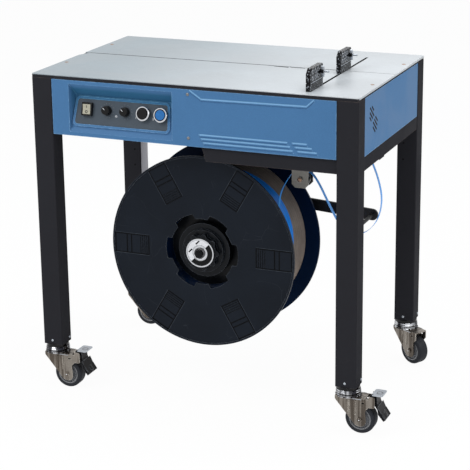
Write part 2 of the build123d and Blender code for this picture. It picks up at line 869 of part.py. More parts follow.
# Brake arm: a flat bar with rounded ends, a boss on the pivot and a rod across its tip
arm_plane = Plane(
    origin=(arm_pivot_x, y_at(arm_front), arm_pivot_height),
    x_dir=(cos(radians(arm_droop)), 0, -sin(radians(arm_droop))),
    z_dir=(0, -1, 0),
)
with BuildPart() as brake_arm:
    with BuildSketch(arm_plane):
        with Locations((arm_length / 2, 0)):
            SlotCenterToCenter(arm_length, arm_height)
    extrude(amount=-arm_thickness)
    with BuildSketch(arm_plane):
        Circle(arm_boss_radius)
    extrude(amount=-arm_boss_length)
    with BuildSketch(arm_plane.offset(-arm_thickness)):
        with Locations((arm_length, 0)):
            Circle(arm_rod_radius)
    extrude(amount=arm_thickness + arm_rod_length)
    chamfer(brake_arm.faces().sort_by(Axis.Y)[0].edges(), arm_rod_chamfer)
    with BuildSketch(arm_plane):
        Circle(arm_pin_radius + running_gap)
    extrude(amount=-arm_boss_length, mode=Mode.SUBTRACT)
save(brake_arm, "brake_arm")

# Guide roller on its bolt, in a forked bracket under the tray
roller_x = x_at(roller_from_left)
strap_y = y_at(strap_plane_from_front)


def roller_plane(y):
    """Plane across the guide roller's axis that looks to the front."""
    return Plane(origin=(roller_x, y, roller_axis_height), x_dir=(1, 0, 0), z_dir=(0, -1, 0))


with BuildPart() as guide_roller:
    with BuildSketch(roller_plane(strap_y + roller_width / 2)):
        Circle(roller_rim_radius)
        Circle(roller_bolt_radius + running_gap, mode=Mode.SUBTRACT)
    extrude(amount=roller_width)
    with BuildSketch(roller_plane(strap_y + roller_width / 2 - roller_rim_width)):
        Circle(roller_rim_radius)
        Circle(roller_radius, mode=Mode.SUBTRACT)
    extrude(amount=roller_width - 2 * roller_rim_width, mode=Mode.SUBTRACT)
save(guide_roller, "guide_roller")

roller_fork_half = roller_width / 2 + roller_side_gap + roller_plate
with BuildPart() as roller_bracket:
    with BuildSketch(roller_plane(strap_y + roller_fork_half)) as roller_plate_outline:
        with Locations((0, -roller_plate_drop)):
            plate_height = tray_bottom - roller_axis_height + roller_plate_drop
            Rectangle(roller_plate_width, plate_height, align=(Align.CENTER, Align.MIN))
        chamfer(roller_plate_outline.vertices().group_by(Axis.Z)[0], roller_plate_corner)
    extrude(amount=2 * roller_fork_half)
    with BuildSketch(roller_plane(strap_y + roller_fork_half - roller_plate)):
        with Locations((0, tray_bottom - roller_axis_height - roller_plate)):
            Rectangle(2 * roller_plate_width, 3 * roller_plate_width, align=(Align.CENTER, Align.MAX))
    extrude(amount=2 * roller_fork_half - 2 * roller_plate, mode=Mode.SUBTRACT)
    with BuildSketch(roller_plane(strap_y + roller_fork_half)):
        Circle(roller_bolt_radius)
    extrude(amount=2 * roller_fork_half)
    with BuildSketch(roller_plane(strap_y - roller_fork_half)):
        RegularPolygon(roller_bolt_head_radius, 6)
    extrude(amount=roller_bolt_head_height)
save(roller_bracket, "roller_bracket")

# Strap, from the coil over the guide roller and in a free loop to the inlet.
# Its route is straight runs joined by arcs.
strap_top = roller_axis_height + roller_radius + strap_thickness / 2 + 2 * seat_gap
strap_route = [
    (625.5, 166, 531.5),
    (627.5, 167, 560),
    (641, strap_plane_from_front, 595),
    (roller_from_left - strap_roller_reach, strap_plane_from_front, strap_top),
    (roller_from_left + strap_roller_reach, strap_plane_from_front, strap_top),
    (731, 173, 609),
    (756, 197, 535),
    (775, 214, 486),
    (802, 232, 456),
    (836, 252, 456),
    (864, 269, 489),
    (872, 282, 543),
    (856, 293, 597),
    (835, 298, 642),
    (inlet_from_left, seam_from_front, tray_bottom - 1),
]


def corner_radius(before, corner, after):
    """The largest even arc for a corner: it uses 0.45 of the shorter run."""
    run_in = Vector(*corner) - Vector(*before)
    run_out = Vector(*after) - Vector(*corner)
    half_turn = radians(run_in.get_angle(run_out)) / 2
    return 0.45 * min(run_in.length, run_out.length) / tan(half_turn)


strap_radii = [corner_radius(*strap_route[i - 1:i + 2]) for i in range(1, len(strap_route) - 1)]
print("strap radii", [round(radius, 1) for radius in strap_radii])
with BuildPart() as strap:
    with BuildLine() as strap_line:
        FilletPolyline(*[(x_at(x), y_at(y), z) for x, y, z in strap_route], radius=strap_radii)
    start_plane = Plane(origin=strap_line.wire() @ 0, x_dir=(0, 1, 0), z_dir=strap_line.wire() % 0)
    with BuildSketch(start_plane):
        Rectangle(strap_width, strap_thickness)
    sweep(path=strap_line.wire(), binormal=strap_line.wire().moved(Location((0, strap_width, 0))))
strap_length = strap_line.wire().length
print("strap length", round(strap_length, 1), "section times length",
      round(strap_length * strap_width * strap_thickness, 1), "volume", round(strap.part.volume, 1))
save(strap, "strap")

# Package stops: a base block, a pocketed upper plate and a wing nut on its right
for stop_name, stop_start, stop_length, knob_from_front in (
    ("package_stop_front", front_stop_start, front_stop_length, stop_knob_from_front[0]),
    ("package_stop_back", back_stop_start, back_stop_length, stop_knob_from_front[1]),
):
    stop_left = x_at(track_from_left - stop_thickness)
    stop_width = stop_thickness + tongue_gap + track_width / 2
    stop_middle_y = y_at(stop_start + stop_length / 2)
    stop_top = table_height + stop_height
    with BuildPart() as stop:
        stop_face = facing_right(stop_left)
        with BuildSketch(stop_face):
            with BuildLine():
                Polyline(
                    (y_at(stop_start), table_height + slide_gap),
                    (y_at(stop_start + stop_length), table_height + slide_gap),
                    (y_at(stop_start + stop_length), stop_top - stop_back_corner),
                    (y_at(stop_start + stop_length) - stop_back_corner, stop_top),
                    (y_at(stop_start) + stop_corner, stop_top),
                    (y_at(stop_start), stop_top - stop_corner),
                    close=True,
                )
            make_face()
        extrude(amount=stop_width)
        with BuildSketch(stop_face):
            with Locations((y_at(stop_start), table_height + stop_base_height)):
                Rectangle(stop_length, stop_gap, align=Align.MIN)
        extrude(amount=stop_gap, mode=Mode.SUBTRACT)
        pocket_step = (stop_length - 2 * stop_pocket_radius) / stop_pocket_columns
        pocket_middle_z = table_height + (stop_base_height + stop_gap + stop_height) / 2
        with BuildSketch(stop_face):
            with Locations((stop_middle_y, pocket_middle_z)):
                with GridLocations(pocket_step, stop_pocket_rise, stop_pocket_columns, 2):
                    Circle(stop_pocket_radius)
        extrude(amount=stop_pocket_depth, mode=Mode.SUBTRACT)
        with BuildSketch(stop_face):
            with Locations((stop_middle_y, pocket_middle_z - stop_key_height / 2)):
                Circle(stop_key_radius)
                Rectangle(stop_key_width, stop_key_height, align=(Align.CENTER, Align.MIN))
        extrude(amount=stop_width, mode=Mode.SUBTRACT)
        with BuildSketch(facing_right(x_at(track_from_left) + track_width / 2 - tongue_gap)):
            with Locations((y_at(stop_start + tongue_inset), table_height - tongue_depth)):
                Rectangle(stop_length - 2 * tongue_inset, tongue_depth + slide_gap, align=Align.MIN)
        extrude(amount=-(track_width - 2 * tongue_gap))
        knob_place = (y_at(stop_start + knob_from_front), pocket_middle_z)
        knob_face = facing_right(stop_left + stop_width)
        with BuildSketch(knob_face):
            with Locations(knob_place):
                Circle(stop_neck_radius)
        extrude(amount=stop_neck_length)
        with BuildSketch(knob_face.offset(stop_wing_start)):
            with Locations(knob_place):
                SlotOverall(stop_wing_height, stop_wing_width, rotation=90)
        extrude(amount=stop_neck_length - stop_wing_start)
        with BuildSketch(knob_face):
            with Locations(knob_place):
                Circle(stop_stud_radius)
        extrude(amount=stop_neck_length + stop_stud_length)
    save(stop, stop_name)

# Strapping head under the guide slots, on a column from the cabinet floor
head_middle_x = x_at((guide_slot_starts[0] + guide_slot_starts[-1] + guide_slot_length) / 2)
head_top = plate_bottom - seat_gap
with BuildPart() as strapping_head:
    with BuildSketch(Plane.XY.offset(head_top)):
        with Locations((head_middle_x, y_at(seam_from_front))):
            Rectangle(head_length, head_width)
    extrude(amount=-head_height)
    with BuildSketch(Plane.XY.offset(head_top)):
        with Locations((head_middle_x, y_at(seam_from_front - guide_slot_width / 2))):
            Rectangle(head_length, head_groove_width)
    extrude(amount=-head_groove_depth, mode=Mode.SUBTRACT)
    with BuildSketch(Plane.XY.offset(cabinet_bottom + floor_sheet)):
        with Locations((head_middle_x, y_at(seam_from_front))):
            Rectangle(head_column_width, head_column_width)
    extrude(amount=head_top - head_height - cabinet_bottom - floor_sheet)
save(strapping_head, "strapping_head")

# Casters: plug, cup and kingpin stay with the leg; the fork swivels and carries the wheel
cup_bottom = fork_top + race_height + seat_gap
with BuildPart() as caster_stems:
    for leg_x, leg_y in leg_places.values():
        stem_place = (x_at(leg_x), y_at(leg_y))
        with BuildSketch(Plane.XY.offset(cup_bottom)):
            with Locations(stem_place):
                Circle(cup_radius)
        extrude(amount=caster_height - cup_bottom)
        with BuildSketch(Plane.XY.offset(caster_height)):
            with Locations(stem_place):
                Rectangle(leg_width - 2 * leg_wall - 2 * seat_gap, leg_depth - 2 * leg_wall - 2 * seat_gap)
        extrude(amount=plug_depth)
        with BuildSketch(Plane.XY.offset(fork_top - fork_plate - seat_gap)):
            with Locations(stem_place):
                Circle(kingpin_radius)
        extrude(amount=cup_bottom - fork_top + fork_plate + seat_gap)
        with BuildSketch(Plane.XY.offset(fork_top - fork_plate - seat_gap)):
            with Locations(stem_place):
                Circle(kingpin_head_radius)
        extrude(amount=-kingpin_head_height)
save(caster_stems, "caster_stems")


def caster_frame(leg_x, leg_y, turn):
    """Frame of a caster: its origin on the floor under the swivel, X along the trail."""
    return Plane(origin=(x_at(leg_x), y_at(leg_y), 0), z_dir=(0, 0, 1)).rotated((0, 0, turn))


def across(frame, y):
    """Plane across the wheel's axis in a caster's frame, with its axes along X and Z."""
    spot = frame.from_local_coords((0, y, 0))
    return Plane(origin=spot, x_dir=frame.x_dir, z_dir=-frame.y_dir)


casters = {
    "front_left": (0, True),
    "front_right": (0, True),
    "back_left": (0, False),
    "back_right": (back_right_turn, False),
}
for caster_name, (turn, braked) in casters.items():
    frame = caster_frame(*leg_places[caster_name], turn)
    with BuildPart() as fork:
        lobe_foot = wheel_radius - fork_lobe_radius
        ear = [
            (fork_ear_start, fork_ear_foot),
            (fork_ear_reach, fork_ear_foot),
            (fork_ear_reach, fork_ear_top),
            (fork_ear_start, fork_ear_top),
            (fork_ear_start, fork_top),
        ]
        plain_end = [(plain_fork_reach, fork_ear_foot), (plain_fork_reach, fork_top)]
        with BuildSketch(across(frame, fork_outer / 2)):
            with BuildLine() as fork_outline:
                Polyline(
                    (-fork_back, fork_top),
                    (-fork_back, fork_top - fork_back_drop),
                    (fork_lobe_start, lobe_foot),
                    (caster_trail + fork_lobe_radius, lobe_foot),
                    (fork_arch_x, fork_arch_z),
                    *(ear if braked else plain_end),
                    close=True,
                )
                fillet(fork_outline.vertices().group_by(Axis.Y)[0], fork_lobe_round)
                back_corner, arch_corner = [
                    fork_outline.vertices().sort_by_distance(place)[0]
                    for place in ((-fork_back, fork_top - fork_back_drop), (fork_arch_x, fork_arch_z))
                ]
                fillet(back_corner, fork_back_round)
                fillet(arch_corner, fork_arch_round)
                if braked:
                    fillet(fork_outline.vertices().group_by(Axis.X)[-1], fork_ear_round)
            make_face()
        extrude(amount=fork_outer)
        with BuildSketch(across(frame, fork_outer / 2)):
            with Locations(fork_slot_place):
                SlotOverall(fork_slot_length, fork_slot_width)
        extrude(amount=fork_outer, mode=Mode.SUBTRACT)
        for rib_y, rib_way in ((-fork_outer / 2, 1), (fork_outer / 2, -1)):
            with BuildSketch(across(frame, rib_y)):
                for rib_x in fork_rib_places:
                    with Locations((rib_x, (fork_top - fork_rib_drop + fork_rib_foot) / 2)):
                        SlotOverall(fork_top - fork_rib_drop - fork_rib_foot, fork_rib_width, rotation=90)
            extrude(amount=rib_way * fork_rib_height)
        with BuildSketch(across(frame, fork_gap / 2)):
            Rectangle(4 * fork_ear_reach, 2 * (fork_top - fork_plate))
        extrude(amount=fork_gap, mode=Mode.SUBTRACT)
        if braked:
            with BuildSketch(across(frame, fork_gap / 2)):
                with Locations((fork_plate_end, fork_ear_foot)):
                    Rectangle(fork_ear_reach, fork_ear_top, align=Align.MIN)
            extrude(amount=fork_gap, mode=Mode.SUBTRACT)
        with BuildSketch(frame.offset(fork_top)):
            Circle(race_radius)
        extrude(amount=race_height)
        race_top = fork.faces().filter_by(GeomType.PLANE).group_by(Axis.Z)[-1].sort_by(SortBy.AREA)[-1]
        fillet(race_top.edges(), race_edge)
        with BuildSketch(frame.offset(fork_top - fork_plate)):
            Circle(kingpin_radius + running_gap)
        extrude(amount=fork_plate + race_height, mode=Mode.SUBTRACT)
        with BuildSketch(across(frame, fork_outer / 2)):
            with Locations((caster_trail, wheel_radius)):
                Circle(axle_radius)
        extrude(amount=fork_outer)
        for head_y, head_way in ((-fork_outer / 2, 1), (fork_outer / 2, -1)):
            with BuildSketch(across(frame, head_y)):
                with Locations((caster_trail, wheel_radius)):
                    RegularPolygon(axle_head_radius, 6)
            extrude(amount=head_way * axle_head_height)
        if braked:
            with BuildSketch(across(frame, fork_outer / 2)):
                with Locations((pedal_pivot_x, pedal_pivot_z)):
                    Circle(pedal_pin_radius)
            extrude(amount=fork_outer)
    save(fork, f"fork_{caster_name}")

    with BuildPart() as wheel_hub:
        with BuildSketch(across(frame, hub_width / 2)):
            with Locations((caster_trail, wheel_radius)):
                Circle(hub_radius)
        extrude(amount=hub_width)
        for face_y, inwards in ((-hub_width / 2, -1), (hub_width / 2, 1)):
            with BuildSketch(across(frame, face_y)):
                with Locations((caster_trail, wheel_radius)):
                    Circle(hub_ring_radius)
                    Circle(hub_boss_radius, mode=Mode.SUBTRACT)
            extrude(amount=inwards * hub_dish, mode=Mode.SUBTRACT)
        with BuildSketch(across(frame, hub_width / 2)):
            with Locations((caster_trail, wheel_radius)):
                Circle(axle_radius + running_gap)
        extrude(amount=hub_width, mode=Mode.SUBTRACT)
    save(wheel_hub, f"wheel_hub_{caster_name}")

    with BuildPart() as tyre:
        with BuildSketch(across(frame, wheel_width / 2)):
            with Locations((caster_trail, wheel_radius)):
                Circle(wheel_radius)
        extrude(amount=wheel_width)
        fillet(tyre.edges().filter_by(GeomType.CIRCLE), tyre_round)
        with BuildSketch(across(frame, wheel_width / 2)):
            with Locations((caster_trail, wheel_radius)):
                Circle(hub_radius)
        extrude(amount=wheel_width, mode=Mode.SUBTRACT)
    save(tyre, f"tyre_{caster_name}")

    if braked:
        with BuildPart() as pedal:
            with BuildSketch(across(frame, pedal_body_width / 2)):
                Polygon(*pedal_body_outline, align=None)
                with Locations((pedal_pivot_x, pedal_pivot_z)):
                    Circle(pedal_pin_radius + running_gap, mode=Mode.SUBTRACT)
            extrude(amount=pedal_body_width)
            with BuildSketch(across(frame, pedal_pad_width / 2)):
                Polygon(*pedal_pad_outline, align=None)
            extrude(amount=pedal_pad_width)
        save(pedal, f"brake_pedal_{caster_name}")

        tab_height = max(height for _, height in pedal_body_outline)
        with BuildPart() as tab:
            with BuildSketch(frame.offset(tab_height)):
                with Locations((tab_start, 0)):
                    Rectangle(tab_reach - tab_start, tab_width, align=ends)
            extrude(amount=tab_thickness)
            fillet(tab.edges().filter_by(Axis.Z), tab_corner)
        save(tab, f"brake_tab_{caster_name}")
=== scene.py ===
"""Finishes, fittings, studio and camera for a strapping table on casters."""

import json
import logging
import math
from collections.abc import Iterable, Sequence
from dataclasses import dataclass, replace
from enum import Enum
from functools import cache, reduce

import bmesh
import bpy
from mathutils import Matrix, Vector


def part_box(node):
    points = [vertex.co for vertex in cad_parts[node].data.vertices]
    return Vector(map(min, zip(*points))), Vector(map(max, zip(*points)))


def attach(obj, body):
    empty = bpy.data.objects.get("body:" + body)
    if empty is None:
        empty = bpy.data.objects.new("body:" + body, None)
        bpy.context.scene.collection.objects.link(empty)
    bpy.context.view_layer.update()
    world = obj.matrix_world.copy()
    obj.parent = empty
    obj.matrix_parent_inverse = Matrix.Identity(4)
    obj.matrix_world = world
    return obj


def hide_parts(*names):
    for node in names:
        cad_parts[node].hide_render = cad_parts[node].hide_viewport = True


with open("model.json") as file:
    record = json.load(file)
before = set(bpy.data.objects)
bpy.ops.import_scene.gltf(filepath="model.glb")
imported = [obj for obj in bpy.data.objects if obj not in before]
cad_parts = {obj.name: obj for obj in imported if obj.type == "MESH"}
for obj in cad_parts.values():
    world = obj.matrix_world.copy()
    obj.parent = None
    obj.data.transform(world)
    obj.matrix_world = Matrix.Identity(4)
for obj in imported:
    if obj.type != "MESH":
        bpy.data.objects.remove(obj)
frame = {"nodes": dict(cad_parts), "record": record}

Socket = bpy.types.NodeSocket
Colour = tuple[int, int, int]
Share = tuple[float, float, float]
Points = Sequence[tuple[float, float]]

LOG = logging.getLogger("strapping_table")
MM = 0.001
UP, BACK, FRONT, RIGHT = (0, 0, 1), (0, 1, 0), (0, -1, 0), (1, 0, 0)
TABLE_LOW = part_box("table_front_plate")[0]
TABLE_TOP = 876.0
PANEL_FACE = 1.5
CASTERS = {"front_left": (28.0, 26.0, 0.0), "front_right": (867.0, 26.0, 0.0),
           "back_left": (28.0, 539.0, 0.0), "back_right": (867.0, 539.0, -30.0)}


def at(from_left: float, from_front: float, height: float) -> Vector:
    """Point in metres, from millimetres off the table's left and front edges and the floor."""
    return Vector((TABLE_LOW.x + from_left * MM, TABLE_LOW.y + from_front * MM, height * MM))


def facing(origin: Vector, normal: Sequence[float], up: Sequence[float] = UP) -> Matrix:
    """Frame whose Z looks along a normal and whose Y leans towards up.

    Args:
        origin: The frame's origin in metres.
        normal: Direction of its Z axis.
        up: Direction that its Y axis comes nearest to.

    Returns:
        The frame as a matrix.
    """
    z_axis = Vector(normal).normalized()
    x_axis = Vector(up).cross(z_axis).normalized()
    y_axis = z_axis.cross(x_axis)
    turned = Matrix((x_axis, y_axis, z_axis)).transposed().to_4x4()
    return Matrix.Translation(origin) @ turned


def level(origin: Vector) -> Matrix:
    """Frame at a point in metres whose Z looks up and whose Y looks to the back."""
    return facing(origin, UP, BACK)


def moved(x: float, y: float, z: float) -> Matrix:
    """Shift of a frame along its three axes, in millimetres."""
    return Matrix.Translation(Vector((x, y, z)) * MM)


def spin(angle: float, axis: str = "Z") -> Matrix:
    """Turn of a frame by degrees about one of its axes."""
    return Matrix.Rotation(math.radians(angle), 4, axis)


def rectangle(width: float, height: float) -> list[tuple[float, float]]:
    """Corners of a rectangle about the origin, by its sizes along X and Y."""
    return [(x * width / 2, y * height / 2) for x, y in ((-1, -1), (1, -1), (1, 1), (-1, 1))]


def linear(red: int, green: int, blue: int) -> tuple[float, float, float, float]:
    """Scene colour of a display colour.

    Args:
        red: Red from 0 to 255.
        green: Green from 0 to 255.
        blue: Blue from 0 to 255.

    Returns:
        The linear colour with full alpha.
    """
    shares = (value / 255 for value in (red, green, blue))
    curve = tuple(s / 12.92 if s <= 0.04045 else ((s + 0.055) / 1.055) ** 2.4 for s in shares)
    return (*curve, 1.0)


def stand(name: str, data: bpy.types.ID) -> bpy.types.Object:
    """Adds an object to the scene.

    Args:
        name: Its name.
        data: Its mesh, curve, lamp or camera.

    Returns:
        The object.
    """
    made = bpy.data.objects.new(name, data)
    bpy.context.scene.collection.objects.link(made)
    return made


def read_curve(curve: bpy.types.Curve) -> bpy.types.Mesh:
    """Reads the mesh of a curve through an object that is then removed.

    Args:
        curve: The curve.

    Returns:
        The mesh.
    """
    guide = stand(curve.name, curve)
    bpy.context.view_layer.update()
    mesh = bpy.data.meshes.new_from_object(guide)
    bpy.data.objects.remove(guide)
    return mesh


class Shape:
    """One mesh under construction, in millimetres of its own frame."""

    def __init__(self) -> None:
        """Starts an empty mesh."""
        self.bm = bmesh.new()

    def place(self, made: Iterable[bmesh.types.BMVert], matrix: Matrix) -> None:
        """Moves vertices from millimetres of a frame to the shared frame."""
        verts = list({v for v in made if v.is_valid})
        bmesh.ops.transform(self.bm, matrix=matrix @ Matrix.Scale(MM, 4), verts=verts)

    def settle(self, before: set[bmesh.types.BMFace], matrix: Matrix) -> None:
        """Turns the new faces outwards and moves them to the shared frame.

        Args:
            before: The faces that are not new.
            matrix: The frame the new ones were made in.
        """
        faces = [f for f in self.bm.faces if f not in before]
        bmesh.ops.recalc_face_normals(self.bm, faces=faces)
        self.place({v for f in faces for v in f.verts}, matrix)

    def lathe(self, profile: Points, matrix: Matrix, steps: int = 48,
              closed: bool = False) -> None:
        """Turns a profile round the frame's Z axis.

        Args:
            profile: Radius and height of each point, in millimetres.
            matrix: The frame of the axis.
            steps: Number of steps of the turn.
            closed: Whether the profile's last point joins its first.
        """
        verts = [self.bm.verts.new((radius, 0, height)) for radius, height in profile]
        pairs = list(zip(verts, verts[1:])) + ([(verts[-1], verts[0])] if closed else [])
        edges = [self.bm.edges.new(pair) for pair in pairs]
        before = set(self.bm.faces)
        bmesh.ops.spin(self.bm, geom=verts + edges, cent=(0, 0, 0), axis=UP, angle=math.tau,
                       steps=steps, use_merge=True, use_duplicate=False)
        made = {v for f in self.bm.faces if f not in before for v in f.verts}
        bmesh.ops.remove_doubles(self.bm, verts=list(made), dist=0.001)
        self.settle(before, matrix)

    def slab(self, outline: Points, depth: float, matrix: Matrix, bevel: float = 0.0) -> None:
        """Raises an outline along the frame's Z axis.

        Args:
            outline: Corners in the frame's X and Y, in millimetres.
            depth: Height of the slab.
            matrix: The frame it stands on.
            bevel: Width of the rounding on its top edges.
        """
        before = set(self.bm.faces)
        base = self.bm.faces.new([self.bm.verts.new((x, y, 0)) for x, y in outline])
        raised = bmesh.ops.extrude_face_region(self.bm, geom=[base])["geom"]
        top = [g for g in raised if isinstance(g, bmesh.types.BMVert)]
        bmesh.ops.translate(self.bm, vec=(0, 0, depth), verts=top)
        if bevel:
            rim = [e for e in self.bm.edges if all(v in top for v in e.verts)]
            bmesh.ops.bevel(self.bm, geom=rim, offset=bevel, segments=2, profile=0.5,
                            affect="EDGES", material=-1)
        self.settle(before, matrix)

    def block(self, size: Sequence[float], matrix: Matrix, bevel: float = 0.0) -> None:
        """Adds a block with rounded edges, centred on the frame's origin.

        Args:
            size: Its three sizes in millimetres.
            matrix: The frame it is centred on.
            bevel: Width of the rounding on all its edges.
        """
        made = bmesh.ops.create_cube(self.bm, size=1)["verts"]
        bmesh.ops.scale(self.bm, vec=size, verts=made)
        if bevel:
            edges = list({e for v in made for e in v.link_edges})
            made = bmesh.ops.bevel(self.bm, geom=edges, offset=bevel, segments=2, profile=0.5,
                                   affect="EDGES", material=-1)["verts"]
        self.place(made, matrix)

    def sector(self, section: Points, start: float, sweep: float, matrix: Matrix,
               steps: int = 32) -> None:
        """Turns a closed section part of the way round the frame's Z axis.

        Args:
            section: Radius and height of its corners, in millimetres.
            start: Angle in degrees at which it starts.
            sweep: Angle in degrees through which it turns.
            matrix: The frame of the axis.
            steps: Number of steps of the turn.
        """
        before = set(self.bm.faces)
        face = self.bm.faces.new([self.bm.verts.new((radius, 0, height))
                                  for radius, height in section])
        bmesh.ops.spin(self.bm, geom=[face], cent=(0, 0, 0), axis=UP, angle=math.radians(sweep),
                       steps=steps, use_merge=False, use_duplicate=False)
        self.settle(before, matrix @ spin(start))

    def finish(self, name: str, material: bpy.types.Material, body: str, slot: str,
               crease: float = 32) -> bpy.types.Object:
        """Makes the object, with smooth faces between its sharp edges.

        Args:
            name: Name of the piece.
            material: Its finish.
            body: The body it rides on.
            slot: The record's material slot; not used.
            crease: Angle in degrees from which an edge stays sharp.

        Returns:
            The piece.
        """
        for edge in self.bm.edges:
            edge.smooth = edge.is_manifold and edge.calc_face_angle() < math.radians(crease)
        for face in self.bm.faces:
            face.smooth = True
        mesh = bpy.data.meshes.new(name)
        self.bm.to_mesh(mesh)
        self.bm.free()
        piece = stand(name, mesh)
        mesh.materials.append(material)
        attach(piece, body)
        LOG.info("piece %s: %d faces", name, len(mesh.polygons))
        return piece


class Graph:
    """A node tree with short ways to add and join nodes."""

    def __init__(self, tree: bpy.types.NodeTree) -> None:
        """Keeps the tree to fill and its next place."""
        self.tree = tree
        self.column = 0

    @classmethod
    def fresh(cls, owner: bpy.types.Material | bpy.types.World) -> "Graph":
        """Empties the tree of a material or a world.

        Args:
            owner: What holds the tree.

        Returns:
            The graph of the tree.
        """
        owner.use_nodes = True
        owner.node_tree.nodes.clear()
        return cls(owner.node_tree)

    def add(self, kind: str, inputs: dict[str | int, object] | None = None,
            **settings: object) -> bpy.types.Node:
        """Adds a node.

        Args:
            kind: Its type without the ShaderNode prefix.
            inputs: Values or sockets for its inputs, by name or index.
            **settings: Its own properties.

        Returns:
            The node.
        """
        node = self.tree.nodes.new("ShaderNode" + kind)
        node.location = (self.column * 190, -(self.column % 4) * 160)
        self.column += 1
        for name, value in settings.items():
            setattr(node, name, value)
        for key, value in (inputs or {}).items():
            if isinstance(value, Socket):
                self.tree.links.new(value, node.inputs[key])
            else:
                node.inputs[key].default_value = value
        return node

    def maths(self, operation: str, *values: object) -> Socket:
        """Adds a Math node on values or sockets and gives its result."""
        return self.add("Math", dict(enumerate(values)), operation=operation).outputs[0]

    def chain(self, operation: str, *values: object) -> Socket:
        """Joins any number of values or sockets by a Math operation, in order."""
        return reduce(lambda first, second: self.maths(operation, first, second), values)

    def product(self, *values: object) -> Socket:
        """Product of values or sockets."""
        return self.chain("MULTIPLY", *values)

    def ramp(self, value: object, low: float, high: float, to_low: float = 0.0,
             to_high: float = 1.0) -> Socket:
        """Maps the range from low to high smoothly to the one from to_low to to_high."""
        return self.add("MapRange", {0: value, 1: low, 2: high, 3: to_low, 4: to_high},
                        interpolation_type="SMOOTHSTEP").outputs[0]

    def span(self, value: object, low: float, high: float, soft: float) -> Socket:
        """Mask that is one between low and high, with sides that fade over twice soft."""
        return self.product(self.ramp(value, low - soft, low + soft),
                            self.ramp(value, high - soft, high + soft, 1.0, 0.0))

    def blend(self, share: object, first: object, second: object, mode: str = "MIX") -> Socket:
        """Mixes two colours by the share of the second."""
        node = self.add("Mix", {0: share, 6: first, 7: second}, data_type="RGBA", blend_type=mode)
        return node.outputs[2]

    def noise(self, place: Socket, scale: object, detail: float, roughness: float = 0.5,
              distortion: float = 0.0) -> Socket:
        """Adds a noise pattern at some coordinates and gives its value."""
        return self.add("TexNoise", {"Vector": place, "Scale": scale, "Detail": detail,
                                     "Roughness": roughness, "Distortion": distortion}).outputs[0]

    def split(self, place: Socket, centre: Sequence[float] | None = None) -> list[Socket]:
        """Splits coordinates.

        Args:
            place: The coordinates.
            centre: Point that they are measured from, if not the origin.

        Returns:
            X, Y and Z.
        """
        if centre is not None:
            place = self.add("VectorMath", {0: place, 1: centre}, operation="SUBTRACT").outputs[0]
        return list(self.add("SeparateXYZ", {0: place}).outputs)

    def radius(self, x: Socket, z: Socket) -> Socket:
        """Distance from an axis, from the distances along X and Z."""
        return self.maths("SQRT", self.maths("ADD", self.product(x, x), self.product(z, z)))

    def effect(self, tree: bpy.types.NodeTree, place: Socket, **values: float) -> bpy.types.Node:
        """Adds a shared node group with its coordinates and its other values."""
        return self.add("Group", {"Vector": place, **values}, node_tree=tree)


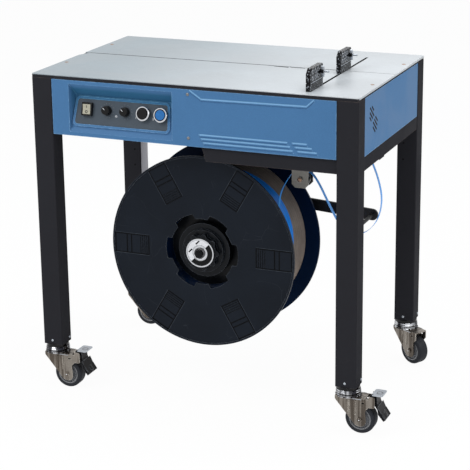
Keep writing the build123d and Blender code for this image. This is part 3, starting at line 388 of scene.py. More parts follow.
class Effect:
    """Node groups that several finishes share, each made once."""

    @staticmethod
    def group(name: str, values: dict[str, float],
              outputs: Sequence[str]) -> tuple[Graph, Socket, dict[str, Socket]]:
        """Starts a group with its sockets.

        Args:
            name: The group's name.
            values: Defaults of its inputs, apart from its coordinates.
            outputs: Names of its value outputs.

        Returns:
            The graph, its coordinates and its other inputs.
        """
        tree = bpy.data.node_groups.new(name, "ShaderNodeTree")
        tree.interface.new_socket("Vector", in_out="INPUT", socket_type="NodeSocketVector")
        for label, default in values.items():
            socket = tree.interface.new_socket(label, in_out="INPUT",
                                               socket_type="NodeSocketFloat")
            socket.default_value = default
        for label in outputs:
            tree.interface.new_socket(label, in_out="OUTPUT", socket_type="NodeSocketFloat")
        given = tree.nodes.new("NodeGroupInput").outputs
        return Graph(tree), given["Vector"], {label: given[label] for label in values}

    @staticmethod
    def close(graph: Graph, **results: Socket) -> bpy.types.NodeTree:
        """Joins the results to the group's outputs.

        Args:
            graph: The group's graph.
            **results: The socket of each output.

        Returns:
            The group.
        """
        out = graph.tree.nodes.new("NodeGroupOutput")
        for label, result in results.items():
            graph.tree.links.new(result, out.inputs[label])
        return graph.tree

    @staticmethod
    @cache
    def edge_wear_and_highlight() -> bpy.types.NodeTree:
        """Mask of the outer edges, broken up by noise, for rubbed wear and painted edge highlights.

        Returns:
            The group.
        """
        graph, place, given = Effect.group("edge_wear_and_highlight", {"Radius": 0.0015, "Amount": 1.0},
                                           ("Mask",))
        rounded = graph.add("Bevel", {"Radius": given["Radius"]}, samples=4)
        flat = graph.add("NewGeometry")
        match = graph.add("VectorMath", {0: rounded.outputs[0], 1: flat.outputs["Normal"]},
                          operation="DOT_PRODUCT")
        edge = graph.ramp(match.outputs["Value"], 0.995, 0.80)
        chips = graph.ramp(graph.noise(place, 90.0, 6.0, 0.65), 0.35, 0.65, 0.25, 1.0)
        return Effect.close(graph, Mask=graph.product(edge, chips, given["Amount"]))

    @staticmethod
    @cache
    def mottle() -> bpy.types.NodeTree:
        """Broad tone and fine grain of a coated surface.

        Returns:
            The group.
        """
        graph, place, given = Effect.group("mottle", {"Scale": 6.0, "Grain": 900.0},
                                           ("Tone", "Fine"))
        broad = graph.noise(place, given["Scale"], 4.0, 0.55, 0.4)
        fine = graph.noise(place, given["Grain"], 3.0, 0.6)
        return Effect.close(graph, Tone=graph.ramp(broad, 0.3, 0.7), Fine=fine)

    @staticmethod
    @cache
    def dust() -> bpy.types.NodeTree:
        """Mask of the fine dust that settles on what looks up.

        Returns:
            The group.
        """
        graph, place, given = Effect.group("dust", {"Amount": 0.3}, ("Mask",))
        normal = graph.add("NewGeometry").outputs["Normal"]
        upward = graph.ramp(graph.split(normal)[2], 0.25, 0.95)
        patchy = graph.ramp(graph.noise(place, 38.0, 8.0, 0.7), 0.38, 0.72)
        return Effect.close(graph, Mask=graph.product(upward, patchy, given["Amount"]))

    @staticmethod
    @cache
    def scratches() -> bpy.types.NodeTree:
        """Mask of thin handling scratches.

        Returns:
            The group.
        """
        graph, place, given = Effect.group("scratches", {"Scale": 9.0, "Amount": 0.3}, ("Mask",))
        bent = graph.add("TexNoise", {"Vector": place, "Scale": 5.0, "Detail": 2.0})
        bend = graph.add("VectorMath", {0: bent.outputs["Color"], 1: (0.3, 0.3, 0.3)},
                         operation="MULTIPLY")
        course = graph.add("VectorMath", {0: place, 1: bend.outputs[0]}, operation="ADD")
        cells = graph.add("TexVoronoi", {"Vector": course.outputs[0], "Scale": given["Scale"]},
                          feature="DISTANCE_TO_EDGE")
        line = graph.ramp(cells.outputs["Distance"], 0.006, 0.0)
        broken = graph.ramp(graph.noise(place, 14.0, 3.0), 0.52, 0.62)
        return Effect.close(graph, Mask=graph.product(line, broken, given["Amount"]))


class Grain(Enum):
    """Fine relief of a surface: its stretch, its scale and its depth in metres."""

    POWDER = ((1, 1, 1), 1100.0, 0.00025)
    SMOOTH = ((1, 1, 1), 260.0, 0.00008)
    BRUSHED = ((0.02, 1, 1), 1500.0, 0.00012)
    MOULDED = ((1, 1, 1), 620.0, 0.0003)
    CAST = ((1, 1, 1), 240.0, 0.0006)


@dataclass(frozen=True)
class Finish:
    """A coated, moulded or plated surface."""

    name: str
    colour: Colour
    roughness: float
    metallic: float = 0.0
    specular: float = 0.5
    coat: float = 0.0
    coat_roughness: float = 0.12
    grain: Grain = Grain.POWDER
    relief: float = 0.12
    variation: float = 0.10
    # Edge mask settings: rubbed wear on some finishes, painted edge highlights on others.
    wear_and_highlight: float = 0.35
    wear_and_highlight_colour: Colour = (150, 150, 150)
    wear_and_highlight_radius: float = 0.0014
    dust: float = 0.15
    dust_colour: Colour = (150, 148, 142)
    scratch: float = 0.10
    tone_scale: float = 6.0

    def tint(self, graph: Graph, place: Socket, colour: Socket) -> Socket:
        """Colour with the finish's own pattern, here none."""
        return colour

    def carve(self, graph: Graph, place: Socket, height: Socket) -> Socket:
        """Height with the finish's own relief, here none."""
        return height

    def toned(self, change: float) -> tuple[float, float, float, float]:
        """Base colour, lighter or darker by a share, as a linear one with full alpha."""
        red, green, blue, alpha = linear(*self.colour)
        return (*(min(1.0, part * (1 + change)) for part in (red, green, blue)), alpha)

    def material(self) -> bpy.types.Material:
        """Builds the material.

        Returns:
            The material.
        """
        made = bpy.data.materials.new(self.name)
        graph = Graph.fresh(made)
        place = graph.add("TexCoord").outputs["Object"]
        stretch, scale, depth = self.grain.value
        drawn = graph.add("Mapping", {"Vector": place, "Scale": stretch}).outputs[0]
        tone = graph.effect(Effect.mottle(), place, Scale=self.tone_scale).outputs["Tone"]
        fine = graph.effect(Effect.mottle(), drawn, Grain=scale).outputs["Fine"]
        dust = graph.effect(Effect.dust(), place, Amount=self.dust).outputs["Mask"]
        wear_and_highlight = graph.effect(Effect.edge_wear_and_highlight(), place, Radius=self.wear_and_highlight_radius,
                            Amount=self.wear_and_highlight).outputs["Mask"]
        scratch = graph.effect(Effect.scratches(), place, Amount=self.scratch).outputs["Mask"]
        worn_and_lit = linear(*self.wear_and_highlight_colour)
        colour = graph.blend(tone, self.toned(-self.variation), self.toned(self.variation))
        speck = graph.ramp(fine, 0.3, 0.7)
        shade = graph.blend(speck, (0.90, 0.90, 0.90, 1), (1.08, 1.08, 1.08, 1))
        colour = graph.blend(1.0, colour, shade, "MULTIPLY")
        colour = graph.blend(dust, colour, linear(*self.dust_colour))
        # Edge colour: painted edge highlights together with rubbed wear.
        colour = graph.blend(wear_and_highlight, colour, worn_and_lit)
        colour = self.tint(graph, place, colour)
        colour = graph.blend(scratch, colour, worn_and_lit)
        rough = graph.ramp(tone, 0, 1, self.roughness * 0.86, min(1.0, self.roughness * 1.12))
        rough = graph.maths("ADD", rough, graph.product(dust, 0.3))
        rough = graph.maths("SUBTRACT", rough, graph.product(scratch, 0.1))
        height = self.carve(graph, place, fine)
        bump = graph.add("Bump", {"Strength": self.relief, "Distance": depth, "Height": height})
        shader = graph.add("BsdfPrincipled", {
            "Base Color": colour, "Roughness": rough, "Normal": bump.outputs[0],
            "Metallic": self.metallic, "Specular IOR Level": self.specular,
            "Coat Weight": self.coat, "Coat Roughness": self.coat_roughness})
        graph.add("OutputMaterial", {"Surface": shader.outputs[0]})
        return made


@dataclass(frozen=True)
class TableSteel(Finish):
    """Brushed sheet of the table top, with painted shade that darkens it to its left."""

    light_end: float = 0.40
    dark_end: float = -0.45
    # Multiplier of the painted shade at the sheet's dark end.
    painted_dark: Share = (0.50, 0.56, 0.59)

    def tint(self, graph: Graph, place: Socket, colour: Socket) -> Socket:
        """Paints slow shading across the sheet.

        Args:
            graph: The material's graph.
            place: Object coordinates.
            colour: The colour so far.

        Returns:
            The colour with the painted shade.
        """
        # Painted shade, darker towards the sheet's left and broken up by a cloud.
        share = graph.ramp(graph.split(place)[0], self.light_end, self.dark_end)
        cloud = graph.ramp(graph.noise(place, 2.2, 3.0), 0.2, 0.8, 0.8, 1.0)
        return graph.blend(graph.product(share, cloud), colour, (*self.painted_dark, 1), "MULTIPLY")


@dataclass(frozen=True)
class CoilStrap(Finish):
    """Side and turns of the wound strap: blue turns in front, bare brown ones behind."""

    axis: Share = (0.0, 0.0, 0.0)
    blue: Colour = (28, 146, 255)
    blue_depth: float = 0.117
    blue_angle: float = 0.6
    blue_fall: float = 0.065
    lane_width: float = 0.0126
    lane_dark: Share = (0.25, 0.25, 0.3)
    # Multiplier of the painted highlight on the coil's lower part.
    painted_low_highlight: Share = (1.5, 1.42, 1.35)

    def tint(self, graph: Graph, place: Socket, colour: Socket) -> Socket:
        """Adds a painted highlight low on the coil, the blue turns and the seams between turns.

        Args:
            graph: The material's graph.
            place: Object coordinates.
            colour: The colour so far.

        Returns:
            The colour with the turns.
        """
        x, y, z = graph.split(place, self.axis)
        swing = graph.maths("SUBTRACT", graph.maths("ARCTAN2", z, x), self.blue_angle)
        edge = graph.maths("MULTIPLY_ADD", graph.product(swing, swing), -self.blue_fall,
                           self.blue_depth)
        # Painted highlight: the coil grows lighter towards its bottom.
        low = graph.ramp(z, 0.10, -0.17)
        colour = graph.blend(low, colour, (*self.painted_low_highlight, 1), "MULTIPLY")
        ragged = graph.product(graph.noise(place, 22.0, 2.0), 0.004)
        depth = graph.maths("SUBTRACT", graph.maths("ADD", edge, ragged), y)
        colour = graph.blend(graph.ramp(depth, -0.0008, 0.0008), colour, linear(*self.blue))
        lane = graph.maths("FRACT", graph.product(y, 1 / self.lane_width))
        seam = graph.maths("SUBTRACT", 1.0, graph.span(lane, 0.06, 0.94, 0.05))
        return graph.blend(graph.product(seam, 0.55), colour, (*self.lane_dark, 1), "MULTIPLY")


@dataclass(frozen=True)
class MouldedFlange(Finish):
    """Moulded reel flange with faint rings about its centre."""

    axis: Share = (0.0, 0.0, 0.0)
    ring_rate: float = 900.0
    ring_height: float = 0.12

    def carve(self, graph: Graph, place: Socket, height: Socket) -> Socket:
        """Adds faint rings to the relief.

        Args:
            graph: The material's graph.
            place: Object coordinates.
            height: The height so far.

        Returns:
            The height with the rings.
        """
        x, _, z = graph.split(place, self.axis)
        rings = graph.maths("SINE", graph.product(graph.radius(x, z), self.ring_rate))
        return graph.maths("MULTIPLY_ADD", rings, self.ring_height, height)


@dataclass(frozen=True)
class PatchedFlange(MouldedFlange):
    """Front flange whose six barred patches have painted shade in their grooves and painted
    highlights on the lands beside them.
    """

    patches: int = 6
    half_width: float = 0.028
    ends: tuple[float, float] = (0.153, 0.253)
    frame_width: float = 0.0034
    land_width: float = 0.0012
    bars: tuple[float, ...] = (0.154, 0.205, 0.218, 0.252)
    bar_half: float = 0.0019
    fine_bars: tuple[float, ...] = (0.160, 0.166, 0.172, 0.178)
    fine_half: float = 0.0012
    soft: float = 0.0005
    fine_soft: float = 0.0004
    land_highlight_colour: Colour = (80, 88, 98)
    groove_shade_colour: Colour = (1, 2, 5)

    def tint(self, graph: Graph, place: Socket, colour: Socket) -> Socket:
        """Paints shade in the grooves of the patches and highlights on the lands beside them.

        Args:
            graph: The material's graph.
            place: Object coordinates.
            colour: The colour so far.

        Returns:
            The colour with the painted shade and highlights.
        """
        x, _, z = graph.split(place, self.axis)
        radius = graph.radius(x, z)
        angle = graph.maths("ARCTAN2", z, x)
        step = math.tau / self.patches
        turned = graph.maths("FLOORED_MODULO", graph.maths("ADD", angle, step / 2), step)
        turned = graph.maths("SUBTRACT", turned, step / 2)
        along = graph.product(radius, graph.maths("COSINE", turned))
        across = graph.maths("ABSOLUTE", graph.product(radius, graph.maths("SINE", turned)))
        half, land = self.half_width, self.half_width + self.land_width
        within = graph.span(across, -1.0, half, self.soft)
        grooves = graph.product(graph.span(across, half - self.frame_width, half, self.soft),
                                graph.span(along, *self.ends, self.soft))
        lights = graph.product(graph.span(across, half, land, self.fine_soft),
                               graph.span(along, *self.ends, self.soft))
        for bars, reach in ((self.bars, self.bar_half), (self.fine_bars, self.fine_half)):
            for bar in bars:
                line = graph.span(along, bar - reach, bar + reach, self.fine_soft)
                grooves = graph.maths("MAXIMUM", grooves, graph.product(within, line))
        # Painted highlights on the lands, then painted shade in the grooves.
        colour = graph.blend(graph.product(lights, 0.3), colour, linear(*self.land_highlight_colour))
        return graph.blend(graph.product(grooves, 0.93), colour, linear(*self.groove_shade_colour))


@dataclass(frozen=True)
class PanelPaint(Finish):
    """Blue sheet paint, with painted teal shade high in the controls' recess, and lit and shaded
    rib sides.

    A rib is its height, start, end and slope.
    """

    recess_sides: tuple[float, float] = (0.100, 0.404)
    recess_heights: tuple[float, float] = (0.750, 0.857)
    recess_fade: tuple[float, float] = (0.003, 0.016)
    recess_end: tuple[float, float] = (0.048, 0.044)
    # Multiplier of the painted shade on the recess walls.
    recess_painted_shade: Share = (0.42, 0.72, 0.68)
    rib_side: tuple[float, float] = (0.0012, 0.0044)
    rib_soft: float = 0.0005
    rib_light: Colour = (150, 200, 238)
    rib_shade: Colour = (34, 74, 116)
    ribs: tuple[tuple[float, float, float, float], ...] = (
        (0.748, 0.473, 0.711, 0.0), (0.748, 0.723, 0.762, 0.0), (0.738, 0.478, 0.718, 0.0),
        (0.738, 0.730, 0.775, 0.0), (0.728, 0.484, 0.725, 0.0), (0.728, 0.737, 0.788, 0.0),
        (0.840, 0.481, 0.761, 0.0107), (0.861, 0.449, 0.481, -0.656),
        (0.843, 0.761, 0.781, 0.9))

    def tint(self, graph: Graph, place: Socket, colour: Socket) -> Socket:
        """Paints shade on the recess behind the panel's face and paints light and shade on the
        ribs' sides.

        Args:
            graph: The material's graph.
            place: Object coordinates.
            colour: The colour so far.

        Returns:
            The colour with the painted recess shade and the ribs.
        """
        x, y, z = graph.split(place)
        face = TABLE_LOW.y + PANEL_FACE * MM
        behind, near = (graph.ramp(y, face + low, face + high)
                        for low, high in (self.recess_fade, self.recess_end))
        across = graph.span(x, *(TABLE_LOW.x + side for side in self.recess_sides), 0.002)
        # Painted shade on the recess walls behind the panel's face.
        share = graph.product(behind, near, across, graph.ramp(z, *self.recess_heights))
        colour = graph.blend(share, colour, (*self.recess_painted_shade, 1), "MULTIPLY")
        front = graph.ramp(y, face + 0.0006, face - 0.0002)
        low, high = self.rib_side
        for height, start, end, slope in self.ribs:
            along = graph.maths("SUBTRACT", x, TABLE_LOW.x + start)
            rise = graph.maths("MULTIPLY_ADD", along, -slope, z)
            run = graph.product(graph.span(along, 0.0, end - start, 0.002), front)
            lit = graph.span(rise, height + low, height + high, self.rib_soft)
            dim = graph.span(rise, height - high, height - low, self.rib_soft)
            colour = graph.blend(graph.product(run, lit, 0.55), colour, linear(*self.rib_light))
            colour = graph.blend(graph.product(run, dim, 0.5), colour, linear(*self.rib_shade))
        return colour


@dataclass(frozen=True)
class ReflectionStreakedMetal(Finish):
    """Plated metal with upright streaks of painted dark and light reflections."""

    streak_scale: float = 95.0
    stretch: Share = (1, 1, 0.05)
    # Multipliers of the painted dark and light reflections.
    painted_dark: Share = (0.56, 0.51, 0.46)
    light: Share = (1.45, 1.43, 1.38)

    def tint(self, graph: Graph, place: Socket, colour: Socket) -> Socket:
        """Adds the painted reflection streaks.

        Args:
            graph: The material's graph.
            place: Object coordinates.
            colour: The colour so far.

        Returns:
            The colour with the painted reflection streaks.
        """
        drawn = graph.add("Mapping", {"Vector": place, "Scale": self.stretch}).outputs[0]
        share = graph.ramp(graph.noise(drawn, self.streak_scale, 2.0), 0.40, 0.60)
        streak = graph.blend(share, (*self.painted_dark, 1), (*self.light, 1))
        return graph.blend(1.0, colour, streak, "MULTIPLY")


@dataclass(frozen=True)
class GlintedBlack(Finish):
    """Glossy black moulding with bright flecks that paint glints."""

    glint_scale: float = 210.0
    glint_colour: Colour = (190, 196, 204)

    def tint(self, graph: Graph, place: Socket, colour: Socket) -> Socket:
        """Adds the painted glints to the colour so far."""
        glints = graph.ramp(graph.noise(place, self.glint_scale, 1.0), 0.60, 0.66, 0.0, 0.5)
        return graph.blend(glints, colour, linear(*self.glint_colour))


NODE_FINISHES = {"roller_bracket": "bracket_steel", "package_stop_front": "stop_black",
                 "package_stop_back": "stop_black", "brake_tab_front_left": "tab_steel",
                 "brake_tab_front_right": "tab_steel"}
# frame_paint, panel_paint, flange_plastic, fork_nickel and pedal_black use their edge settings for
# painted edge highlights as well as wear.
FINISHES: dict[str, Finish] = {finish.name: finish for finish in (
    Finish("frame_paint", (44, 44, 48), 0.8, specular=0.04, relief=0.06, variation=0.06,
           wear_and_highlight=0.8, wear_and_highlight_colour=(98, 88, 84), wear_and_highlight_radius=0.0026, dust=0.03),
    PanelPaint("panel_paint", (76, 121, 166), 0.5, specular=0.10, relief=0.03, variation=0.03,
               wear_and_highlight=0.9, wear_and_highlight_colour=(150, 194, 232), wear_and_highlight_radius=0.0032, dust=0.02,
               scratch=0.05),
    TableSteel("table_steel", (190, 195, 199), 0.42, metallic=0.35, specular=0.4,
               grain=Grain.BRUSHED, variation=0.04, wear_and_highlight=0.8, wear_and_highlight_colour=(236, 238, 240),
               dust=0.02, scratch=0.08),
    Finish("control_plate", (78, 87, 96), 0.6, specular=0.15, grain=Grain.MOULDED, relief=0.06,
           variation=0.05, wear_and_highlight=0.25, wear_and_highlight_colour=(128, 130, 136)),
    Finish("black_plastic", (9, 9, 11), 0.2, specular=0.22, grain=Grain.SMOOTH, wear_and_highlight=0.5,
           wear_and_highlight_colour=(112, 116, 122), dust=0.02),
    Finish("rocker_plastic", (184, 180, 160), 0.3, grain=Grain.SMOOTH, wear_and_highlight=0.3,
           wear_and_highlight_colour=(226, 222, 208)),
    Finish("ring_chrome", (206, 208, 212), 0.10, metallic=1.0, grain=Grain.SMOOTH, relief=0.05,
           variation=0.04, wear_and_highlight=0.15, wear_and_highlight_colour=(245, 246, 248)),
    Finish("button_blue", (0, 108, 180), 0.25, grain=Grain.SMOOTH, wear_and_highlight=0.3,
           wear_and_highlight_colour=(110, 170, 224)),
    PatchedFlange("flange_plastic", (25, 30, 38), 0.46, specular=0.08, grain=Grain.MOULDED,
                  relief=0.06, variation=0.12, wear_and_highlight=0.7, wear_and_highlight_colour=(124, 130, 138),
                  wear_and_highlight_radius=0.0018, dust=0.03, dust_colour=(60, 64, 70)),
    MouldedFlange("flange_navy", (0, 22, 50), 0.42, specular=0.06, grain=Grain.MOULDED,
                  relief=0.06, wear_and_highlight=0.55, wear_and_highlight_colour=(128, 134, 144)),
    CoilStrap("coil_strap", (132, 122, 114), 0.38, specular=0.3, grain=Grain.SMOOTH, relief=0.3,
              variation=0.2, wear_and_highlight=0.2, wear_and_highlight_colour=(180, 168, 150), tone_scale=14.0),
    Finish("strap_blue", (72, 164, 248), 0.28, specular=0.3, coat=0.1, grain=Grain.SMOOTH,
           relief=0.3, variation=0.08, wear_and_highlight=0.4, wear_and_highlight_colour=(140, 196, 244),
           wear_and_highlight_radius=0.0005),
    Finish("hub_paint", (14, 17, 22), 0.34, specular=0.14, grain=Grain.CAST, relief=0.08,
           wear_and_highlight=0.9, wear_and_highlight_colour=(104, 110, 120), wear_and_highlight_radius=0.0016, dust=0.02),
    Finish("hub_black", (6, 7, 9), 0.3, specular=0.15, grain=Grain.SMOOTH, wear_and_highlight=0.3,
           wear_and_highlight_colour=(60, 64, 70), dust=0.0),
    Finish("shaft_steel", (86, 86, 88), 0.24, metallic=1.0, grain=Grain.SMOOTH, wear_and_highlight=0.5,
           wear_and_highlight_colour=(220, 220, 222)),
    Finish("bracket_paint", (26, 27, 30), 0.34, specular=0.18, relief=0.06, wear_and_highlight=0.5,
           wear_and_highlight_colour=(120, 124, 130), dust=0.03),
    Finish("zinc_steel", (118, 119, 121), 0.3, metallic=0.9, grain=Grain.CAST, relief=0.08,
           wear_and_highlight=0.6, wear_and_highlight_colour=(225, 226, 228)),
    Finish("tab_steel", (168, 174, 182), 0.3, metallic=0.8, grain=Grain.BRUSHED, relief=0.08,
           variation=0.12, wear_and_highlight=0.6, wear_and_highlight_colour=(240, 242, 245)),
    Finish("bracket_steel", (116, 114, 110), 0.36, metallic=0.6, grain=Grain.BRUSHED,
           relief=0.08, variation=0.14, wear_and_highlight=0.7, wear_and_highlight_colour=(206, 204, 200)),
    ReflectionStreakedMetal("race_chrome", (186, 188, 192), 0.14, metallic=1.0, grain=Grain.SMOOTH,
                  relief=0.05, wear_and_highlight=0.4, wear_and_highlight_colour=(240, 241, 244), wear_and_highlight_radius=0.0008,
                  streak_scale=75.0, painted_dark=(0.05, 0.05, 0.06), light=(1.15, 1.15, 1.15)),
    ReflectionStreakedMetal("fork_nickel", (112, 107, 102), 0.30, metallic=0.85, grain=Grain.SMOOTH,
                  relief=0.1, variation=0.14, wear_and_highlight=0.8, wear_and_highlight_colour=(240, 236, 230),
                  wear_and_highlight_radius=0.0018, tone_scale=20.0),
    GlintedBlack("stop_black", (8, 9, 12), 0.25, specular=0.12, grain=Grain.SMOOTH, wear_and_highlight=0.6,
                 wear_and_highlight_colour=(170, 174, 180), wear_and_highlight_radius=0.0008, dust=0.0),
    Finish("wheel_grey", (112, 114, 118), 0.42, grain=Grain.MOULDED, wear_and_highlight=0.6,
           wear_and_highlight_colour=(196, 198, 202), wear_and_highlight_radius=0.0010),
    Finish("tyre_rubber", (46, 48, 53), 0.62, specular=0.12, grain=Grain.MOULDED, relief=0.25,
           wear_and_highlight_colour=(98, 98, 100), dust=0.12),
    Finish("pedal_black", (12, 12, 15), 0.3, specular=0.10, wear_and_highlight=0.8,
           wear_and_highlight_colour=(150, 154, 160), wear_and_highlight_radius=0.0016),
    Finish("mark_white", (214, 216, 218), 0.5, grain=Grain.SMOOTH, wear_and_highlight=0.0, dust=0.0),
    Finish("mark_dark", (8, 8, 10), 0.6, specular=0.08, grain=Grain.SMOOTH, wear_and_highlight=0.0, dust=0.0),
    Finish("painted_highlight_white", (232, 233, 236), 0.3, metallic=0.35, grain=Grain.BRUSHED,
           relief=0.05, variation=0.05, wear_and_highlight=0.0, dust=0.0),
    Finish("screw_tan", (150, 122, 104), 0.38, metallic=0.6, grain=Grain.CAST, relief=0.08,
           wear_and_highlight=0.6, wear_and_highlight_colour=(214, 196, 180)),
    Finish("leg_sheen_grey", (152, 152, 158), 0.5, metallic=0.3, grain=Grain.BRUSHED, relief=0.05,
           wear_and_highlight=0.2),
)}


class Paints:
    """The materials of the scene, each made once."""

    def __init__(self, reel_axis: Vector) -> None:
        """Makes the materials.

        Args:
            reel_axis: Point on the reel's axis at its front flange, in metres.
        """
        self.by_name: dict[str, bpy.types.Material] = {}
        for name, finish in FINISHES.items():
            if isinstance(finish, (CoilStrap, MouldedFlange)):
                finish = replace(finish, axis=tuple(reel_axis))
            self.by_name[name] = finish.material()

    def __getitem__(self, name: str) -> bpy.types.Material:
        """Material of a finish."""
        return self.by_name[name]

    def dress_nodes(self) -> None:
        """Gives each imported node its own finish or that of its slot."""
        for row in frame["record"]["subparts"]:
            node = frame["nodes"][row["node"]]
            node.data.materials.clear()
            finish = NODE_FINISHES.get(row["node"], row["material_slot"])
            node.data.materials.append(self[finish])
            for polygon in node.data.polygons:
                polygon.material_index = 0
            LOG.info("node %s: %s", row["node"], finish)


@dataclass
class Dress:
    """Pieces that dress one sub-assembly."""

    paints: Paints


@dataclass
class Fasteners(Dress):
    """Screws of the legs, front panel, table and roller, and the back legs' small parts.

    A head is its radius and its height.
    """

    leg_head: tuple[float, float] = (3.6, 2.0)
    panel_head: tuple[float, float] = (4.4, 2.0)
    table_head: tuple[float, float] = (5.4, 1.2)
    roller_head: tuple[float, float] = (6.4, 2.6)
    head_angles: tuple[float, ...] = (0.0, 0.25, 0.55, 0.9, 1.2)
    head_sink: float = 0.3
    leg_screw_height: float = 135
    leg_front_screw: tuple[float, float] = (-2, -26)
    leg_right_screw: tuple[float, float] = (28, 16)
    panel_places: Points = ((444, 852), (444, 739))
    table_places: Points = ((878, 160), (878, 430), (17, 160), (17, 430))
    hole_places: tuple[tuple[float, float, float], ...] = ((38, 513, 550), (38, 513, 503),
                                                           (857, 513, 640), (857, 513, 594))
    hole_profile: Points = ((2.6, -0.2), (2.6, 0.2), (1.6, 0.1), (0, 0.05))
    sheen_place: tuple[float, float, float] = (56, 539, 520)
    sheen_size: tuple[float, float, float] = (44, 392, 0.8)

    def head(self, shape: Shape, matrix: Matrix, size: tuple[float, float]) -> None:
        """Adds a domed head with a pressed socket.

        Args:
            shape: The mesh to add to.
            matrix: Frame on the surface, with Z outwards.
            size: Radius and height of the head.
        """
        radius, height = size
        arc = [(radius * math.cos(a), height * math.sin(a)) for a in self.head_angles]
        socket = [(radius * 0.3, height * 0.98), (0, height * 0.72)]
        shape.lathe([(radius, -self.head_sink), *arc, *socket], matrix, steps=20)

    def build_screws(self) -> None:
        """Builds the screws of the legs, the front panel and the table."""
        legs, panel, table = Shape(), Shape(), Shape()
        for middle_x, middle_y, _ in CASTERS.values():
            for (right, back), normal in ((self.leg_front_screw, FRONT),
                                          (self.leg_right_screw, RIGHT)):
                spot = at(middle_x + right, middle_y + back, self.leg_screw_height)
                self.head(legs, facing(spot, normal), self.leg_head)
        for from_left, height in self.panel_places:
            self.head(panel, facing(at(from_left, PANEL_FACE, height), FRONT), self.panel_head)
        for place in self.table_places:
            self.head(table, level(at(*place, TABLE_TOP)), self.table_head)
        legs.finish("leg_screws", self.paints["tab_steel"], "machine", "zinc_steel")
        panel.finish("panel_screws", self.paints["zinc_steel"], "machine", "zinc_steel")
        table.finish("table_screws", self.paints["screw_tan"], "machine", "zinc_steel")

    def build_legs(self) -> None:
        """Builds the plugs of the back legs' holes and the light strip that paints the sheen on the
        left one's inner side.
        """
        holes = Shape()
        for place in self.hole_places:
            holes.lathe(self.hole_profile, facing(at(*place), FRONT), steps=20)
        holes.finish("leg_holes", self.paints["mark_dark"], "machine", "frame_paint")
        # Painted sheen: a light strip on the left back leg's inner side.
        sheen_strip = Shape()
        width, height, thickness = self.sheen_size
        sheen_strip.slab(rectangle(width, height), thickness, facing(at(*self.sheen_place), RIGHT),
                   bevel=0.3)
        sheen_strip.finish("leg_sheen_strip", self.paints["leg_sheen_grey"], "machine", "zinc_steel")

    def build_roller_bolt(self) -> None:
        """Builds the domed cap on the guide roller's bolt."""
        low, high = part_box("guide_roller")
        spot = Vector(((low.x + high.x) / 2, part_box("roller_bracket")[0].y, (low.z + high.z) / 2))
        bolt = Shape()
        self.head(bolt, facing(spot, FRONT), self.roller_head)
        bolt.finish("roller_bolt", self.paints["screw_tan"], "machine", "zinc_steel")

    def build(self) -> None:
        """Builds the screws and the legs' small parts."""
        self.build_screws()
        self.build_legs()
        self.build_roller_bolt()


@dataclass
class StrapRun(Dress):
    """The free strap from the coil over the guide roller to the inlet."""

    width: float = 12.0
    thickness: float = 0.8
    steps: int = 10
    points: tuple[tuple[float, float, float], ...] = (
        (625.5, 166, 531.5), (627.5, 167, 560), (641, 168, 595), (672, 168, 639),
        (708, 168, 639), (731, 173, 609), (756, 197, 535), (775, 214, 486), (802, 232, 456),
        (836, 252, 456), (864, 269, 489), (872, 282, 543), (856, 293, 597), (835, 298, 642),
        (821, 300, 679))

    def route(self) -> list[Vector]:
        """Points read from the route's smooth spline.

        Returns:
            The points in metres, from the coil to the inlet.
        """
        curve = bpy.data.curves.new("strap_route", "CURVE")
        curve.dimensions = "3D"
        curve.resolution_u = self.steps
        spline = curve.splines.new("NURBS")
        spline.points.add(len(self.points) - 1)
        for point, place in zip(spline.points, self.points):
            point.co = (*at(*place), 1.0)
        spline.order_u = 3
        spline.use_endpoint_u = True
        read = read_curve(curve)
        path = [v.co.copy() for v in read.vertices]
        bpy.data.meshes.remove(read)
        return path

    def sheet(self, path: list[Vector]) -> Shape:
        """Lays a flat band along a path, level across.

        Args:
            path: Points of its middle line, in metres.

        Returns:
            The band, without thickness.
        """
        shape = Shape()
        half = self.width * MM / 2
        edge = None
        for index, spot in enumerate(path):
            ahead = path[min(index + 1, len(path) - 1)] - path[max(index - 1, 0)]
            tangent = ahead.normalized()
            across = (Vector(BACK) - tangent * tangent.y).normalized()
            if edge is None:
                pair = [shape.bm.verts.new(spot - across * half),
                        shape.bm.verts.new(spot + across * half)]
                edge = shape.bm.edges.new(pair)
                continue
            made = bmesh.ops.extrude_edge_only(shape.bm, edges=[edge])["geom"]
            pair = [g for g in made if isinstance(g, bmesh.types.BMVert)]
            edge = next(g for g in made if isinstance(g, bmesh.types.BMEdge)
                        and all(v in pair for v in g.verts))
            near, far = sorted(pair, key=lambda v: (v.co - spot).dot(across))
            near.co, far.co = spot - across * half, spot + across * half
        bmesh.ops.recalc_face_normals(shape.bm, faces=shape.bm.faces[:])
        return shape

    def build(self) -> None:
        """Builds the strap along its route."""
        path = self.route()
        shape = self.sheet(path)
        thick = bmesh.ops.solidify(shape.bm, geom=shape.bm.faces[:],
                                   thickness=self.thickness * MM)
        LOG.info("strap: %d parts", len(thick["geom"]))
        bmesh.ops.recalc_face_normals(shape.bm, faces=shape.bm.faces[:])
        piece = shape.finish("strap_run", self.paints["strap_blue"], "machine", "strap_blue", 40)
        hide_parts("strap")


